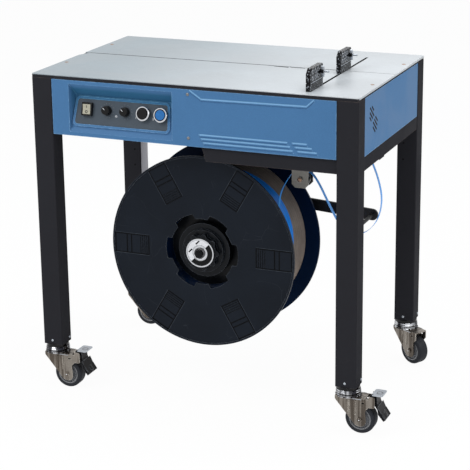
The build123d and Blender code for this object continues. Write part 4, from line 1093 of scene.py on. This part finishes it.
@dataclass
class ReelDress(Dress):
    """Wound turns of the strap and the small parts of the hub."""

    from_left: float = 439
    axis_height: float = 411.5
    front: float = 84
    width: float = 196
    flange: float = 4.3
    coil_radius: float = 220.8
    coil_bore: float = 108.3
    turn_step: float = 0.9
    turn_edge: tuple[float, float] = (0.7, 0.5)
    turn_gap: float = 0.05
    lap_shares: tuple[float, float] = (0.4, 0.6)
    lap_rate: float = 2.3
    turns: int = 15
    cap_recess: float = 2.0
    plate_radii: tuple[float, float] = (21.5, 35.6)
    plate_start: float = 45.0
    # Sizes of the white and black half plates that paint the cap's chrome reflection.
    painted_highlight_plate: tuple[float, float, float] = (0.7, 1.3, 0.6)
    painted_dark_plate: float = 0.6
    ring_profile: Points = ((-2.2, -1), (-2.2, 2.6), (-1.7, 3.0), (-0.6, 3.0), (0, 2.4), (0, -1))
    # Places and size of the dark marks painted into that reflection.
    reflection_mark_places: Points = ((-6.5, 28.0), (-27.0, 4.2))
    reflection_mark_lift: float = 1.25
    reflection_mark_size: tuple[float, float, float] = (14, 3.6, 0.4)
    nut_front: float = 66
    nut_radius: float = 12.5
    nut_height: float = 6
    nut_profile: Points = ((8, 0), (8, 7.2), (6.8, 8.6), (3.6, 9.2), (0, 9.4))

    def axis(self, from_front: float) -> Matrix:
        """Frame on the reel's axis that looks to the front."""
        return facing(at(self.from_left, from_front, self.axis_height), FRONT)

    def build_coil(self) -> None:
        """Builds the coil with its lapped turns."""
        length = self.width - 2 * self.flange
        pitch = length / self.turns
        drop, edge = self.turn_edge
        least, more = self.lap_shares
        profile = [(self.coil_bore, 0.0)]
        for turn in range(self.turns):
            low = turn * pitch
            lap = self.turn_step * (least + more * math.sin(turn * self.lap_rate) ** 2)
            radius = self.coil_radius - lap
            profile += [(radius - drop, low + self.turn_gap), (radius, low + edge),
                        (radius, low + pitch - edge), (radius - drop, low + pitch - self.turn_gap)]
        profile.append((self.coil_bore, length))
        shape = Shape()
        shape.lathe(profile, self.axis(self.front + self.width - self.flange), steps=128,
                    closed=True)
        piece = shape.finish("coil_turns", self.paints["coil_strap"], "reel", "coil_strap", 50)
        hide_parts("strap_coil")

    def build_hub(self) -> None:
        """Builds the cap's white and black half plates, which paint its chrome reflection, its
        inner ring, the dark marks painted into that reflection and the nut.
        """
        face = facing(Vector((self.axis(0).translation.x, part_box("hub_cap")[0].y,
                              self.axis_height * MM)), FRONT)
        floor = face @ moved(0, 0, -self.cap_recess)
        low, high = self.plate_radii
        side, top, edge = self.painted_highlight_plate
        # Painted reflection: a white half plate and a black half plate stand in for the chrome
        # cap's reflection.
        painted_highlight = Shape()
        painted_highlight.sector([(low, 0), (high, 0), (high, side), (high - edge, top), (low + edge, top),
                       (low, side)], self.plate_start, 180, floor)
        painted_highlight.finish("hub_painted_highlight", self.paints["painted_highlight_white"], "reel", "ring_chrome")
        painted_dark = Shape()
        painted_dark.sector([(low, 0), (high, 0), (high, self.painted_dark_plate), (low, self.painted_dark_plate)],
                    self.plate_start + 180, 180, floor)
        painted_dark.finish("hub_painted_dark", self.paints["hub_black"], "reel", "hub_paint")
        ring = Shape()
        ring.lathe([(low + wider, height) for wider, height in self.ring_profile], floor, steps=64,
                   closed=True)
        ring.finish("hub_ring", self.paints["ring_chrome"], "reel", "ring_chrome")
        # Dark marks painted into the white half's reflection.
        reflection_marks = Shape()
        for place in self.reflection_mark_places:
            spot = floor @ moved(*place, self.reflection_mark_lift) @ spin(self.plate_start)
            reflection_marks.block(self.reflection_mark_size, spot, bevel=0.1)
        reflection_marks.finish("hub_reflection_marks", self.paints["mark_dark"], "reel", "hub_paint")
        nut = Shape()
        corners = (corner * math.tau / 6 for corner in range(6))
        nut.slab([(self.nut_radius * math.cos(a), self.nut_radius * math.sin(a))
                  for a in corners], self.nut_height, self.axis(self.nut_front), bevel=1.2)
        nut.lathe(self.nut_profile, self.axis(self.nut_front), steps=32)
        nut.finish("hub_nut", self.paints["hub_black"], "machine", "shaft_steel")

    def build(self) -> None:
        """Builds all the reel's pieces."""
        self.build_coil()
        self.build_hub()


@dataclass
class CasterDress(Dress):
    """Race rings with painted dark reflections, strips that paint the fork's edge highlights, axle
    bolts, hub rings and pedal trim of one caster.
    """

    name: str
    middle_x: float
    middle_y: float
    turn: float
    trail: float = 36
    axle_height: float = 40
    race_height: float = 98
    race_profile: Points = ((31.6, 0.2), (33.2, 0.9), (33.6, 2.4), (32.2, 3.6), (31.4, 4.0),
                            (32.2, 4.5), (33.2, 5.4), (32.8, 6.6), (31.2, 7.6), (29.5, 7.9),
                            (29.5, 0.2))
    cup_height: float = 107
    cup_profile: Points = ((28.6, 0.1), (31.4, 0.1), (32.6, 1.1), (32.6, 3.6), (31.4, 4.6),
                           (31.0, 5.2), (31.8, 6.0), (31.8, 8.6), (30.6, 9.8), (28.6, 9.8))
    # Places and size of the dark marks that paint the race ring's reflections.
    dark_reflection_angles: tuple[float, ...] = (-160, -125, -92, -58, -22, 14, 50, 90, 130, 168)
    dark_reflection_radius: float = 33.2
    dark_reflection_lift: float = 2.4
    dark_reflection_size: tuple[float, float, float] = (4.2, 3.0, 1.4)
    fork_half: float = 20.5
    fork_wall: float = 3
    # Place and size of the strips that paint the fork's edge highlight.
    highlight_middle: float = 11
    highlight_drop: float = 1.2
    highlight_size: tuple[float, float, float] = (62, 1.8, 1.0)
    cap_profile: Points = ((4.6, -0.6), (4.6, 0.4), (3.8, 1.2), (2.6, 1.5), (1.6, 1.4))
    dot_profile: Points = ((1.9, 1.2), (1.5, 1.9), (0.8, 2.2), (0, 2.3))
    hub_half: float = 14.5
    rim_profile: Points = ((26.2, -3.6), (26.2, 0.2), (26.8, 0.6), (28.6, 0.6), (29.2, 0.1),
                           (29.2, -0.4))
    web_profile: Points = ((9.4, -3.8), (14, -3.4), (15, -2.4), (16, -3.4), (21, -3.5),
                           (22, -2.6), (23, -3.6))
    line_profile: Points = ((27.2, 0.4), (27.4, 0.9), (28.2, 0.9), (28.4, 0.4))
    pad_half: float = 23
    pad_face: tuple[tuple[float, float], tuple[float, float]] = ((93, 69), (106, 50))
    pad_steps: Points = ((18, 0.7), (11, 1.3))
    pad_rail: tuple[float, float, float] = (2.0, 21, 1.6)
    rail_inset: float = 1.6
    rail_lift: float = 0.3
    side_depth: float = 1.0
    prong_depth: float = 2.0
    pad_side: Points = ((86.4, 82), (93, 69), (106, 50), (101, 46), (86.8, 62.5), (85.4, 76))
    prong: Points = ((62.5, 92), (57, 93), (58.4, 101), (62.5, 109), (67.5, 114.2),
                     (71.6, 113.2), (66.6, 104))
    prong_across: float = -15.4
    tab_middle: float = 84
    tab_top: float = 113
    tab_profile: Points = ((6.4, -0.2), (6.8, 0.7), (8.4, 0.7), (8.8, -0.2))

    def way(self, along: float, across: float, rise: float = 0.0) -> Vector:
        """Direction by its shares along the trail, across it to the back, and upwards."""
        return Matrix.Rotation(math.radians(self.turn), 3, "Z") @ Vector((along, across, rise))

    def spot(self, along: float, across: float, height: float) -> Vector:
        """Point in metres, from millimetres along the trail, across it and off the floor."""
        place = self.way(along, across)
        return at(self.middle_x + place.x, self.middle_y + place.y, height)

    def keep(self, shape: Shape, kind: str, paint: str, body: str, slot: str) -> None:
        """Makes a piece named after the caster, on its body of the kind given."""
        shape.finish(f"{kind}_{self.name}", self.paints[paint], f"{body}_{self.name}", slot)

    def build_races(self) -> None:
        """Builds the two race rings and the dark marks that paint the race ring's reflections."""
        race = Shape()
        race.lathe(self.race_profile, level(self.spot(0, 0, self.race_height)), steps=56,
                   closed=True)
        self.keep(race, "race_ring", "race_chrome", "caster", "ring_chrome")
        cup = Shape()
        cup.lathe(self.cup_profile, level(self.spot(0, 0, self.cup_height)), steps=56, closed=True)
        cup.finish(f"cup_ring_{self.name}", self.paints["race_chrome"], "machine", "ring_chrome")
        # Painted dark reflections on the race ring.
        dark_reflections = Shape()
        for angle in self.dark_reflection_angles:
            turned = Matrix.Rotation(math.radians(angle), 3, "Z") @ Vector(RIGHT)
            spot = self.spot(0, 0, self.race_height + self.dark_reflection_lift)
            spot += turned * self.dark_reflection_radius * MM
            dark_reflections.block(self.dark_reflection_size, facing(spot, turned), bevel=0.4)
        self.keep(dark_reflections, "race_dark_reflections", "mark_dark", "caster", "black_plastic")

    def build_edge_highlight(self) -> None:
        """Builds the bright strips that paint the highlight along the top of the fork's two sides.
        """
        # Painted highlight strips along the fork's top edges.
        edge = Shape()
        for side in (-1, 1):
            spot = self.spot(self.highlight_middle, side * (self.fork_half + self.fork_wall),
                             self.race_height - self.highlight_drop)
            edge.block(self.highlight_size, facing(spot, self.way(0, side)), bevel=0.4)
        self.keep(edge, "fork_edge_highlight", "tab_steel", "caster", "zinc_steel")

    def build_axle(self) -> None:
        """Builds the axle's bolt heads and the rings of the wheel's hub."""
        caps, dots, rings, lines = Shape(), Shape(), Shape(), Shape()
        for side in (-1, 1):
            outwards = self.way(0, side)
            bolt, hub = (facing(self.spot(self.trail, side * reach, self.axle_height), outwards)
                         for reach in (self.fork_half + self.fork_wall, self.hub_half))
            caps.lathe(self.cap_profile, bolt, steps=24)
            dots.lathe(self.dot_profile, bolt, steps=16)
            rings.lathe(self.rim_profile, hub, steps=56)
            rings.lathe(self.web_profile, hub, steps=56)
            lines.lathe(self.line_profile, hub, steps=56, closed=True)
        self.keep(caps, "axle_caps", "fork_nickel", "caster", "fork_nickel")
        self.keep(dots, "axle_dots", "ring_chrome", "caster", "ring_chrome")
        self.keep(rings, "hub_rings", "wheel_grey", "wheel", "wheel_grey")
        self.keep(lines, "hub_lines", "zinc_steel", "wheel", "zinc_steel")

    def build_pedal(self) -> None:
        """Builds the pedal's pressed pad, its side, its prong and the tab's ring."""
        (top_x, top_z), (foot_x, foot_z) = self.pad_face
        middle = self.spot((top_x + foot_x) / 2, 0, (top_z + foot_z) / 2)
        face = facing(middle, self.way(top_z - foot_z, 0, foot_x - top_x))
        pad = Shape()
        for size, lift in self.pad_steps:
            pad.slab(rectangle(size, size), lift, face, bevel=0.5)
        for edge in (-1, 1):
            aside = edge * (self.pad_half - self.rail_inset)
            pad.block(self.pad_rail, face @ moved(aside, 0, self.rail_lift), bevel=0.5)
        self.keep(pad, "pedal_pad", "pedal_black", "pedal", "pedal_black")
        trim = Shape()
        trim.slab(self.pad_side, self.side_depth,
                  facing(self.spot(0, -self.pad_half, 0), self.way(0, -1)), bevel=0.3)
        self.keep(trim, "pedal_trim", "pedal_black", "pedal", "zinc_steel")
        prong = Shape()
        prong.slab(self.prong, self.prong_depth,
                   facing(self.spot(0, self.prong_across, 0), self.way(0, -1)), bevel=0.5)
        self.keep(prong, "pedal_prong", "pedal_black", "pedal", "pedal_black")
        tab = Shape()
        tab.lathe(self.tab_profile, level(self.spot(self.tab_middle, 0, self.tab_top)), steps=36,
                  closed=True)
        self.keep(tab, "tab_ring", "zinc_steel", "pedal", "zinc_steel")

    def build(self) -> None:
        """Builds the caster's pieces."""
        self.build_races()
        self.build_edge_highlight()
        self.build_axle()
        if self.name.startswith("front"):
            self.build_pedal()


@dataclass
class ControlMarks(Dress):
    """Dial ticks, numbers, rocker marks and knob pointers of the control plate."""

    lean_run: float = 22
    lean_rise: float = 81
    floor_middle_front: float = 20.5
    floor_middle_height: float = 780.5
    rise: float = 59
    foot_rise: float = 12
    head_rise: float = 93
    plate_thickness: float = 3
    knob_places: tuple[float, float] = (208, 260)
    dial_radius: float = 18.5
    dial_start: float = 150
    dial_sweep: float = 240
    ticks: int = 11
    tick_size: tuple[float, float, float] = (1.4, 0.35, 0.12)
    number_size: float = 7.0
    number_depth: float = 0.05
    number_stroke: float = 0.3
    numbers: tuple[tuple[str, float, float], ...] = (("10", 234, -13), ("1", 291, -12),
                                                     ("2", 340, -12))
    switch_place: float = 152
    rocker_lift: float = 5.0
    rocker_tilt: float = 7.0
    rocker_end: tuple[float, float] = (6.6, 4.35)
    bar_size: tuple[float, float, float] = (1.6, 6.4, 0.5)
    ring_profile: Points = ((2.3, -0.2), (2.3, 0.2), (3.7, 0.2), (3.7, -0.2))
    knob_top: float = 15.35
    pointer_angle: float = 50.0
    pointer_reach: float = 5.2
    pointer_size: tuple[float, float, float] = (1.6, 7.0, 0.5)

    def surface(self, from_left: float, slide: float = 0.0, lift: float = 0.0) -> Matrix:
        """Frame on the control plate.

        Args:
            from_left: Distance from the table's left edge.
            slide: Distance up the plate from the controls' line.
            lift: Distance above the plate.

        Returns:
            The frame, with Z off the plate and Y up it.
        """
        lean = math.atan2(self.lean_run, self.lean_rise)
        normal = Vector((0, -math.cos(lean), math.sin(lean)))
        up = Vector((0, math.sin(lean), math.cos(lean)))
        middle_rise = (self.foot_rise + self.head_rise) / 2
        reach = (self.rise - middle_rise) / math.cos(lean) + slide
        spot = at(from_left, self.floor_middle_front, self.floor_middle_height)
        spot += (up * reach + normal * (self.plate_thickness + lift)) * MM
        return facing(spot, normal)

    def number(self, words: str, matrix: Matrix, shape: Shape) -> None:
        """Adds a printed number.

        Args:
            words: The number.
            matrix: Frame on the plate at its middle.
            shape: The mesh to add to.
        """
        curve = bpy.data.curves.new("number", "FONT")
        curve.body = words
        curve.size = self.number_size
        curve.align_x = "CENTER"
        curve.align_y = "CENTER"
        curve.extrude = self.number_depth
        curve.offset = self.number_stroke
        read = read_curve(curve)
        before = set(shape.bm.verts)
        shape.bm.from_mesh(read)
        shape.place([v for v in shape.bm.verts if v not in before], matrix)
        bpy.data.meshes.remove(read)

    def build_dials(self) -> None:
        """Builds the ticks and numbers."""
        shape = Shape()
        for from_left in self.knob_places:
            base = self.surface(from_left)
            for tick in range(self.ticks):
                angle = math.radians(self.dial_start - tick * self.dial_sweep / (self.ticks - 1))
                spot = Matrix.Translation(Vector((math.cos(angle), math.sin(angle), 0))
                                          * self.dial_radius * MM)
                turn = Matrix.Rotation(angle, 4, "Z")
                shape.block(self.tick_size, base @ spot @ turn)
        for words, from_left, slide in self.numbers:
            self.number(words, self.surface(from_left, slide), shape)
        shape.finish("dial_marks", self.paints["mark_white"], "machine", "rocker_plastic")

    def build_rocker(self) -> None:
        """Builds the bar and the ring pressed into the rocker's two ends."""
        rocker = self.surface(self.switch_place, lift=self.rocker_lift)
        rocker = rocker @ spin(self.rocker_tilt, "X")
        reach, top = self.rocker_end
        upper = rocker @ (moved(0, reach, top) @ spin(self.rocker_tilt, "X"))
        lower = rocker @ (moved(0, -reach, top) @ spin(-self.rocker_tilt, "X"))
        marks = Shape()
        marks.block(self.bar_size, upper, bevel=0.1)
        marks.lathe(self.ring_profile, lower, steps=28, closed=True)
        marks.finish("rocker_marks", self.paints["mark_dark"], "switch_rocker", "black_plastic")

    def build_pointers(self) -> None:
        """Builds the pointer line on each knob's top."""
        for side, from_left in zip(("left", "right"), self.knob_places):
            line = Shape()
            top = self.surface(from_left, lift=self.knob_top)
            line.block(self.pointer_size,
                       top @ spin(self.pointer_angle) @ moved(0, self.pointer_reach, 0), bevel=0.15)
            line.finish(f"knob_pointer_{side}", self.paints["mark_white"], f"knob_{side}",
                        "rocker_plastic")

    def build(self) -> None:
        """Builds all the marks of the controls."""
        self.build_dials()
        self.build_rocker()
        self.build_pointers()


@dataclass
class StopDress(Dress):
    """Bright pocket rims, lines and keyhole rims that paint glints, dark pieces that paint shade in
    the pockets and under the gap line, and the wing nut, on the right side of one package stop.
    """

    side: str
    start: float
    length: float
    nut: float
    face: float = 761.5
    middle: float = 914.5
    columns: int = 4
    row_pitch: float = 15.6
    pocket_margin: float = 12
    nut_clear: float = 11
    pocket_rim: Points = ((4.2, -0.2), (4.3, 0.6), (4.9, 0.9), (5.4, 0.5), (5.5, -0.2))
    pocket_floor: Points = ((4.2, 0.15), (0, 0.15))
    hole_drop: float = 6.5
    hole_rim: Points = ((3.6, -0.2), (3.6, 0.6), (4.3, 0.6), (4.4, -0.2))
    key_half: float = 2.2
    key_lift: float = 1.2
    key_line: tuple[float, float, float] = (0.9, 9.4, 1.0)
    gap_height: float = 896.0
    gap_short: float = 3
    gap_line: tuple[float, float] = (1.5, 0.8)
    shade_line: tuple[float, float] = (1.6, 0.5)
    shade_drop: float = 2.2
    wing_front: float = 2.9
    wing_depth: float = 7.4
    wing_reach: float = 11.3
    wing_half: float = 2.55
    stud_front: float = 10.3
    stud_profile: Points = ((0, -0.2), (2.5, -0.2), (2.5, 12.6), (1.8, 13.1), (0, 13.1))

    def spot(self, from_front: float, height: float, proud: float = 0.0) -> Matrix:
        """Frame on the stop's right side or proud of it, with Z to the right."""
        return facing(at(self.face + proud, from_front, height), RIGHT)

    def build_pockets(self, rims: Shape, floors: Shape) -> None:
        """Builds the pockets' bright rims, which paint glints, and dark floors, which paint shade,
        clear of the wing nut.

        Args:
            rims: The mesh of the bright rims, which paint glints.
            floors: The mesh of the dark floors, which paint shade.
        """
        for column in range(self.columns):
            from_front = (self.start + self.length / 2 + (column - (self.columns - 1) / 2)
                          * (self.length - self.pocket_margin) / self.columns)
            for row in (-0.5, 0.5):
                height = self.middle + row * self.row_pitch
                off_nut = math.hypot(from_front - self.start - self.nut, height - self.middle)
                if off_nut < self.nut_clear:
                    continue
                # Bright rim that paints the pocket's glint, dark floor that paints its shade.
                rims.lathe(self.pocket_rim, self.spot(from_front, height), steps=24, closed=True)
                floors.lathe(self.pocket_floor, self.spot(from_front, height), steps=24)

    def build(self) -> None:
        """Builds the bright rims and lines that paint glints, the dark pieces that paint shade and
        the wing nut's cover.
        """
        centre = self.start + self.length / 2
        rims, floors = Shape(), Shape()
        self.build_pockets(rims, floors)
        rims.lathe(self.hole_rim, self.spot(centre, self.middle - self.hole_drop), steps=24,
                   closed=True)
        for edge in (-self.key_half, self.key_half):
            rims.block(self.key_line, self.spot(centre + edge, self.middle + self.key_lift),
                       bevel=0.2)
        # Bright line that paints the glint along the gap.
        rims.block((self.length - self.gap_short, *self.gap_line),
                   self.spot(centre, self.gap_height), bevel=0.2)
        nut = self.start + self.nut
        arc = [math.radians(a) for a in range(0, 181, 30)]
        wing = [(self.wing_half * math.cos(a), self.wing_reach + self.wing_half * math.sin(a))
                for a in arc]
        rims.slab(wing + [(-x, -y) for x, y in wing], self.wing_depth,
                  self.spot(nut, self.middle, self.wing_front), bevel=0.5)
        rims.lathe(self.stud_profile, self.spot(nut, self.middle, self.stud_front), steps=20)
        rims.finish(f"stop_glint_rims_{self.side}", self.paints["tab_steel"], f"stop_{self.side}",
                    "zinc_steel")
        # Dark line that paints the shade under the gap's glint.
        floors.block((self.length - self.gap_short, *self.shade_line),
                     self.spot(centre, self.gap_height - self.shade_drop), bevel=0.1)
        floors.finish(f"stop_pocket_shades_{self.side}", self.paints["mark_dark"], f"stop_{self.side}",
                      "black_plastic")


@dataclass
class SheetMarks(Dress):
    """Dark pieces that paint the shade in the table's seam, guide slots and track and in the side
    vents, and the table's lip.
    """

    seam: float = 300
    seam_runs: Points = ((16, 562), (605.5, 608.5), (651.5, 747))
    seam_shade_size: tuple[float, float] = (4.4, 1.6)
    seam_drop: float = 0.7
    guide_slots: tuple[float, float] = (584, 630)
    slot_shade_size: tuple[float, float, float] = (41.4, 8.6, 1.2)
    slot_forward: float = 4.4
    slot_drop: float = 1.4
    track: tuple[float, float] = (757, 761)
    track_ends: tuple[float, float] = (30, 486)
    track_line: float = 1.3
    track_aside: float = 0.7
    track_raise: float = 0.1
    track_side_shade: tuple[float, float] = (0.2, 1.9)
    side_place: tuple[float, float] = (0.06, 1)
    lip_place: tuple[float, float, float] = (895.3, 282.5, TABLE_TOP - 2.8)
    lip_size: tuple[float, float, float] = (0.7, 558, 5.2)
    side_faces: tuple[tuple[float, int], ...] = ((893.5, 1), (1.5, -1))
    vents: tuple[tuple[float, float, tuple[float, ...]], ...] = (
        (108, 51.5, (20, 43, 30, 18)), (138, 84, (23, 32, 38, 26)))
    vent_pitch: float = 10
    vent_slant: float = -40
    vent_width: float = 5.2
    vent_extra: float = 1.2
    vent_raise: float = 0.25
    band_bottom: float = 866

    def capsule(self, length: float, width: float) -> list[tuple[float, float]]:
        """Outline of a slot with round ends.

        Args:
            length: Its length over its ends, in millimetres.
            width: Its width.

        Returns:
            The corners of the outline.
        """
        reach = (length - width) / 2
        arc = [math.radians(a) for a in range(-90, 91, 30)]
        right = [(reach + width / 2 * math.cos(a), width / 2 * math.sin(a)) for a in arc]
        return right + [(-x, -y) for x, y in right]

    def build_seam(self) -> None:
        """Builds the dark pieces that paint shade in the seam and in the guide slots."""
        seam = Shape()
        for start, end in self.seam_runs:
            spot = level(at((start + end) / 2, self.seam, TABLE_TOP - self.seam_drop))
            seam.block((end - start, *self.seam_shade_size), spot, bevel=0.1)
        for middle in self.guide_slots:
            spot = level(at(middle, self.seam - self.slot_forward, TABLE_TOP - self.slot_drop))
            seam.block(self.slot_shade_size, spot, bevel=0.1)
        seam.finish("seam_shade", self.paints["mark_dark"], "machine", "black_plastic")

    def build_track(self) -> None:
        """Builds the dark strips that paint shade along the stops' track and inside its left side.
        """
        track = Shape()
        low, high = self.track_ends
        left, right = self.track
        middle = (low + high) / 2
        for edge in (left - self.track_aside, right + self.track_aside):
            track.slab(rectangle(self.track_line, high - low), self.track_raise,
                       level(at(edge, middle, TABLE_TOP)))
        width, height = self.track_side_shade
        aside, drop = self.side_place
        track.block((width, high - low, height), level(at(left + aside, middle, TABLE_TOP - drop)))
        track.finish("track_shade", self.paints["mark_dark"], "machine", "black_plastic")

    def build_lip(self) -> None:
        """Builds the lip along the table's right edge."""
        lip = Shape()
        lip.block(self.lip_size, Matrix.Translation(at(*self.lip_place)), bevel=0.15)
        lip.finish("table_lip", self.paints["table_steel"], "machine", "table_steel")

    def build_vents(self) -> None:
        """Builds the dark marks that paint the vents' shade in both sides."""
        vents = Shape()
        slant = math.radians(self.vent_slant)
        for face, way in self.side_faces:
            for middle, drop, lengths in self.vents:
                for row, length in enumerate(lengths):
                    offset = (row - (len(lengths) - 1) / 2) * self.vent_pitch
                    spot = at(face, middle + offset * math.sin(slant),
                              self.band_bottom - drop - offset * math.cos(slant))
                    vents.slab(self.capsule(length + self.vent_extra, self.vent_width),
                               self.vent_raise,
                               facing(spot, (way, 0, 0)) @ spin(self.vent_slant * way))
        vents.finish("vent_shade", self.paints["mark_dark"], "machine", "black_plastic")

    def build(self) -> None:
        """Builds the painted shade pieces and the lip."""
        self.build_seam()
        self.build_track()
        self.build_lip()
        self.build_vents()


@dataclass(frozen=True)
class Studio:
    """Floor, lamps, world and camera. A lamp is its name, place, size and power."""

    sensor: float = 36
    focal_pixels: float = 1569
    picture_pixels: float = 470
    shift: tuple[float, float] = (0.0, -0.10)
    camera_place: tuple[float, float, float] = (2.0348, -3.5001, 1.7058)
    pitch: float = 15.953
    roll: float = -0.676
    yaw: float = 22.698
    floor_radius: float = 30
    floor_glow: float = 0.96
    lamp_aim: tuple[float, float, float] = (0, 0, 0.5)
    lamps: tuple[tuple[str, tuple[float, float, float], float, float], ...] = (
        ("key", (-1.7, -2.4, 3.1), 1.8, 54.0), ("fill", (3.1, -0.9, 2.0), 1.8, 16.0),
        ("top", (0.5, 0.3, 3.4), 2.2, 60.0))

    def build_floor(self) -> None:
        """Makes the pale floor."""
        shape = bmesh.new()
        bmesh.ops.create_circle(shape, cap_ends=True, segments=96, radius=self.floor_radius)
        mesh = bpy.data.meshes.new("floor")
        shape.to_mesh(mesh)
        shape.free()
        floor = stand("floor", mesh)
        made = bpy.data.materials.new("floor_paper")
        graph = Graph.fresh(made)
        place = graph.add("TexCoord").outputs["Object"]
        tone = graph.blend(graph.noise(place, 3.0, 4.0), (0.90, 0.90, 0.90, 1),
                           (0.93, 0.93, 0.93, 1))
        paper = graph.add("BsdfDiffuse", {"Color": tone})
        glow = graph.add("Emission", {"Color": (1, 1, 1, 1), "Strength": 1.0})
        rays = graph.add("LightPath").outputs
        seen = graph.maths("MAXIMUM", rays["Is Camera Ray"], rays["Is Glossy Ray"])
        both = graph.add("MixShader", {0: graph.product(seen, self.floor_glow),
                                       1: paper.outputs[0], 2: glow.outputs[0]})
        graph.add("OutputMaterial", {"Surface": both.outputs[0]})
        mesh.materials.append(made)

    def build_world(self) -> None:
        """Makes the world: soft light, and white where it is seen."""
        world = bpy.data.worlds.new("studio")
        graph = Graph.fresh(world)
        rays = graph.add("LightPath").outputs
        seen = graph.chain("MAXIMUM", rays["Is Camera Ray"], rays["Is Glossy Ray"],
                           rays["Is Transmission Ray"])
        soft = graph.add("Background", {"Color": (0.93, 0.96, 1.0, 1), "Strength": 0.50})
        white = graph.add("Background", {"Color": (1, 1, 1, 1), "Strength": 1.0})
        both = graph.add("MixShader", {0: seen, 1: soft.outputs[0], 2: white.outputs[0]})
        graph.add("OutputWorld", {"Surface": both.outputs[0]})
        bpy.context.scene.world = world

    def build_lamps(self) -> None:
        """Makes the three soft boxes."""
        for name, place, size, power in self.lamps:
            light = bpy.data.lights.new(name, "AREA")
            light.shape = "SQUARE"
            light.size = size
            light.energy = power
            lamp = stand(name, light)
            lamp.location = place
            aim = Vector(self.lamp_aim) - Vector(place)
            lamp.rotation_euler = aim.to_track_quat("-Z", "Y").to_euler()

    def build_camera(self) -> None:
        """Makes the camera at the photograph's place."""
        data = bpy.data.cameras.new("camera")
        data.sensor_width = self.sensor
        data.lens = self.sensor * self.focal_pixels / self.picture_pixels
        data.shift_x, data.shift_y = self.shift
        data.clip_start, data.clip_end = 0.1, 100
        camera = stand("camera", data)
        pitch, roll, yaw = (math.radians(a) for a in (self.pitch, self.roll, self.yaw))
        ahead = Vector((-math.sin(yaw), math.cos(yaw), 0))
        side = Vector((math.cos(yaw), math.sin(yaw), 0))
        rise = Vector(UP)
        look = ahead * math.cos(pitch) - rise * math.sin(pitch)
        up = rise * math.cos(pitch) + ahead * math.sin(pitch)
        right = side * math.cos(roll) + up * math.sin(roll)
        up = up * math.cos(roll) - side * math.sin(roll)
        turned = Matrix((right, up, -look)).transposed().to_4x4()
        offset = Vector(self.camera_place) + Vector((TABLE_LOW.x, TABLE_LOW.y, 0))
        camera.matrix_world = Matrix.Translation(offset) @ turned
        bpy.context.scene.camera = camera

    def build(self) -> None:
        """Builds the studio."""
        self.build_floor()
        self.build_world()
        self.build_lamps()
        self.build_camera()
        bpy.context.scene.view_settings.view_transform = "Standard"


def main() -> None:
    """Builds the pieces in order and reports each."""
    logging.basicConfig(level=logging.INFO, format="%(name)s %(message)s")
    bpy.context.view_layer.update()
    paints = Paints(at(ReelDress.from_left, ReelDress.front, ReelDress.axis_height))
    Studio().build()
    paints.dress_nodes()
    StrapRun(paints).build()
    Fasteners(paints).build()
    ReelDress(paints).build()
    for name, place in CASTERS.items():
        CasterDress(paints, name, *place).build()
    ControlMarks(paints).build()
    StopDress(paints, "front", start=29, length=91, nut=71).build()
    StopDress(paints, "back", start=258, length=83, nut=65).build()
    SheetMarks(paints).build()


if __name__ == "__main__":
    main()
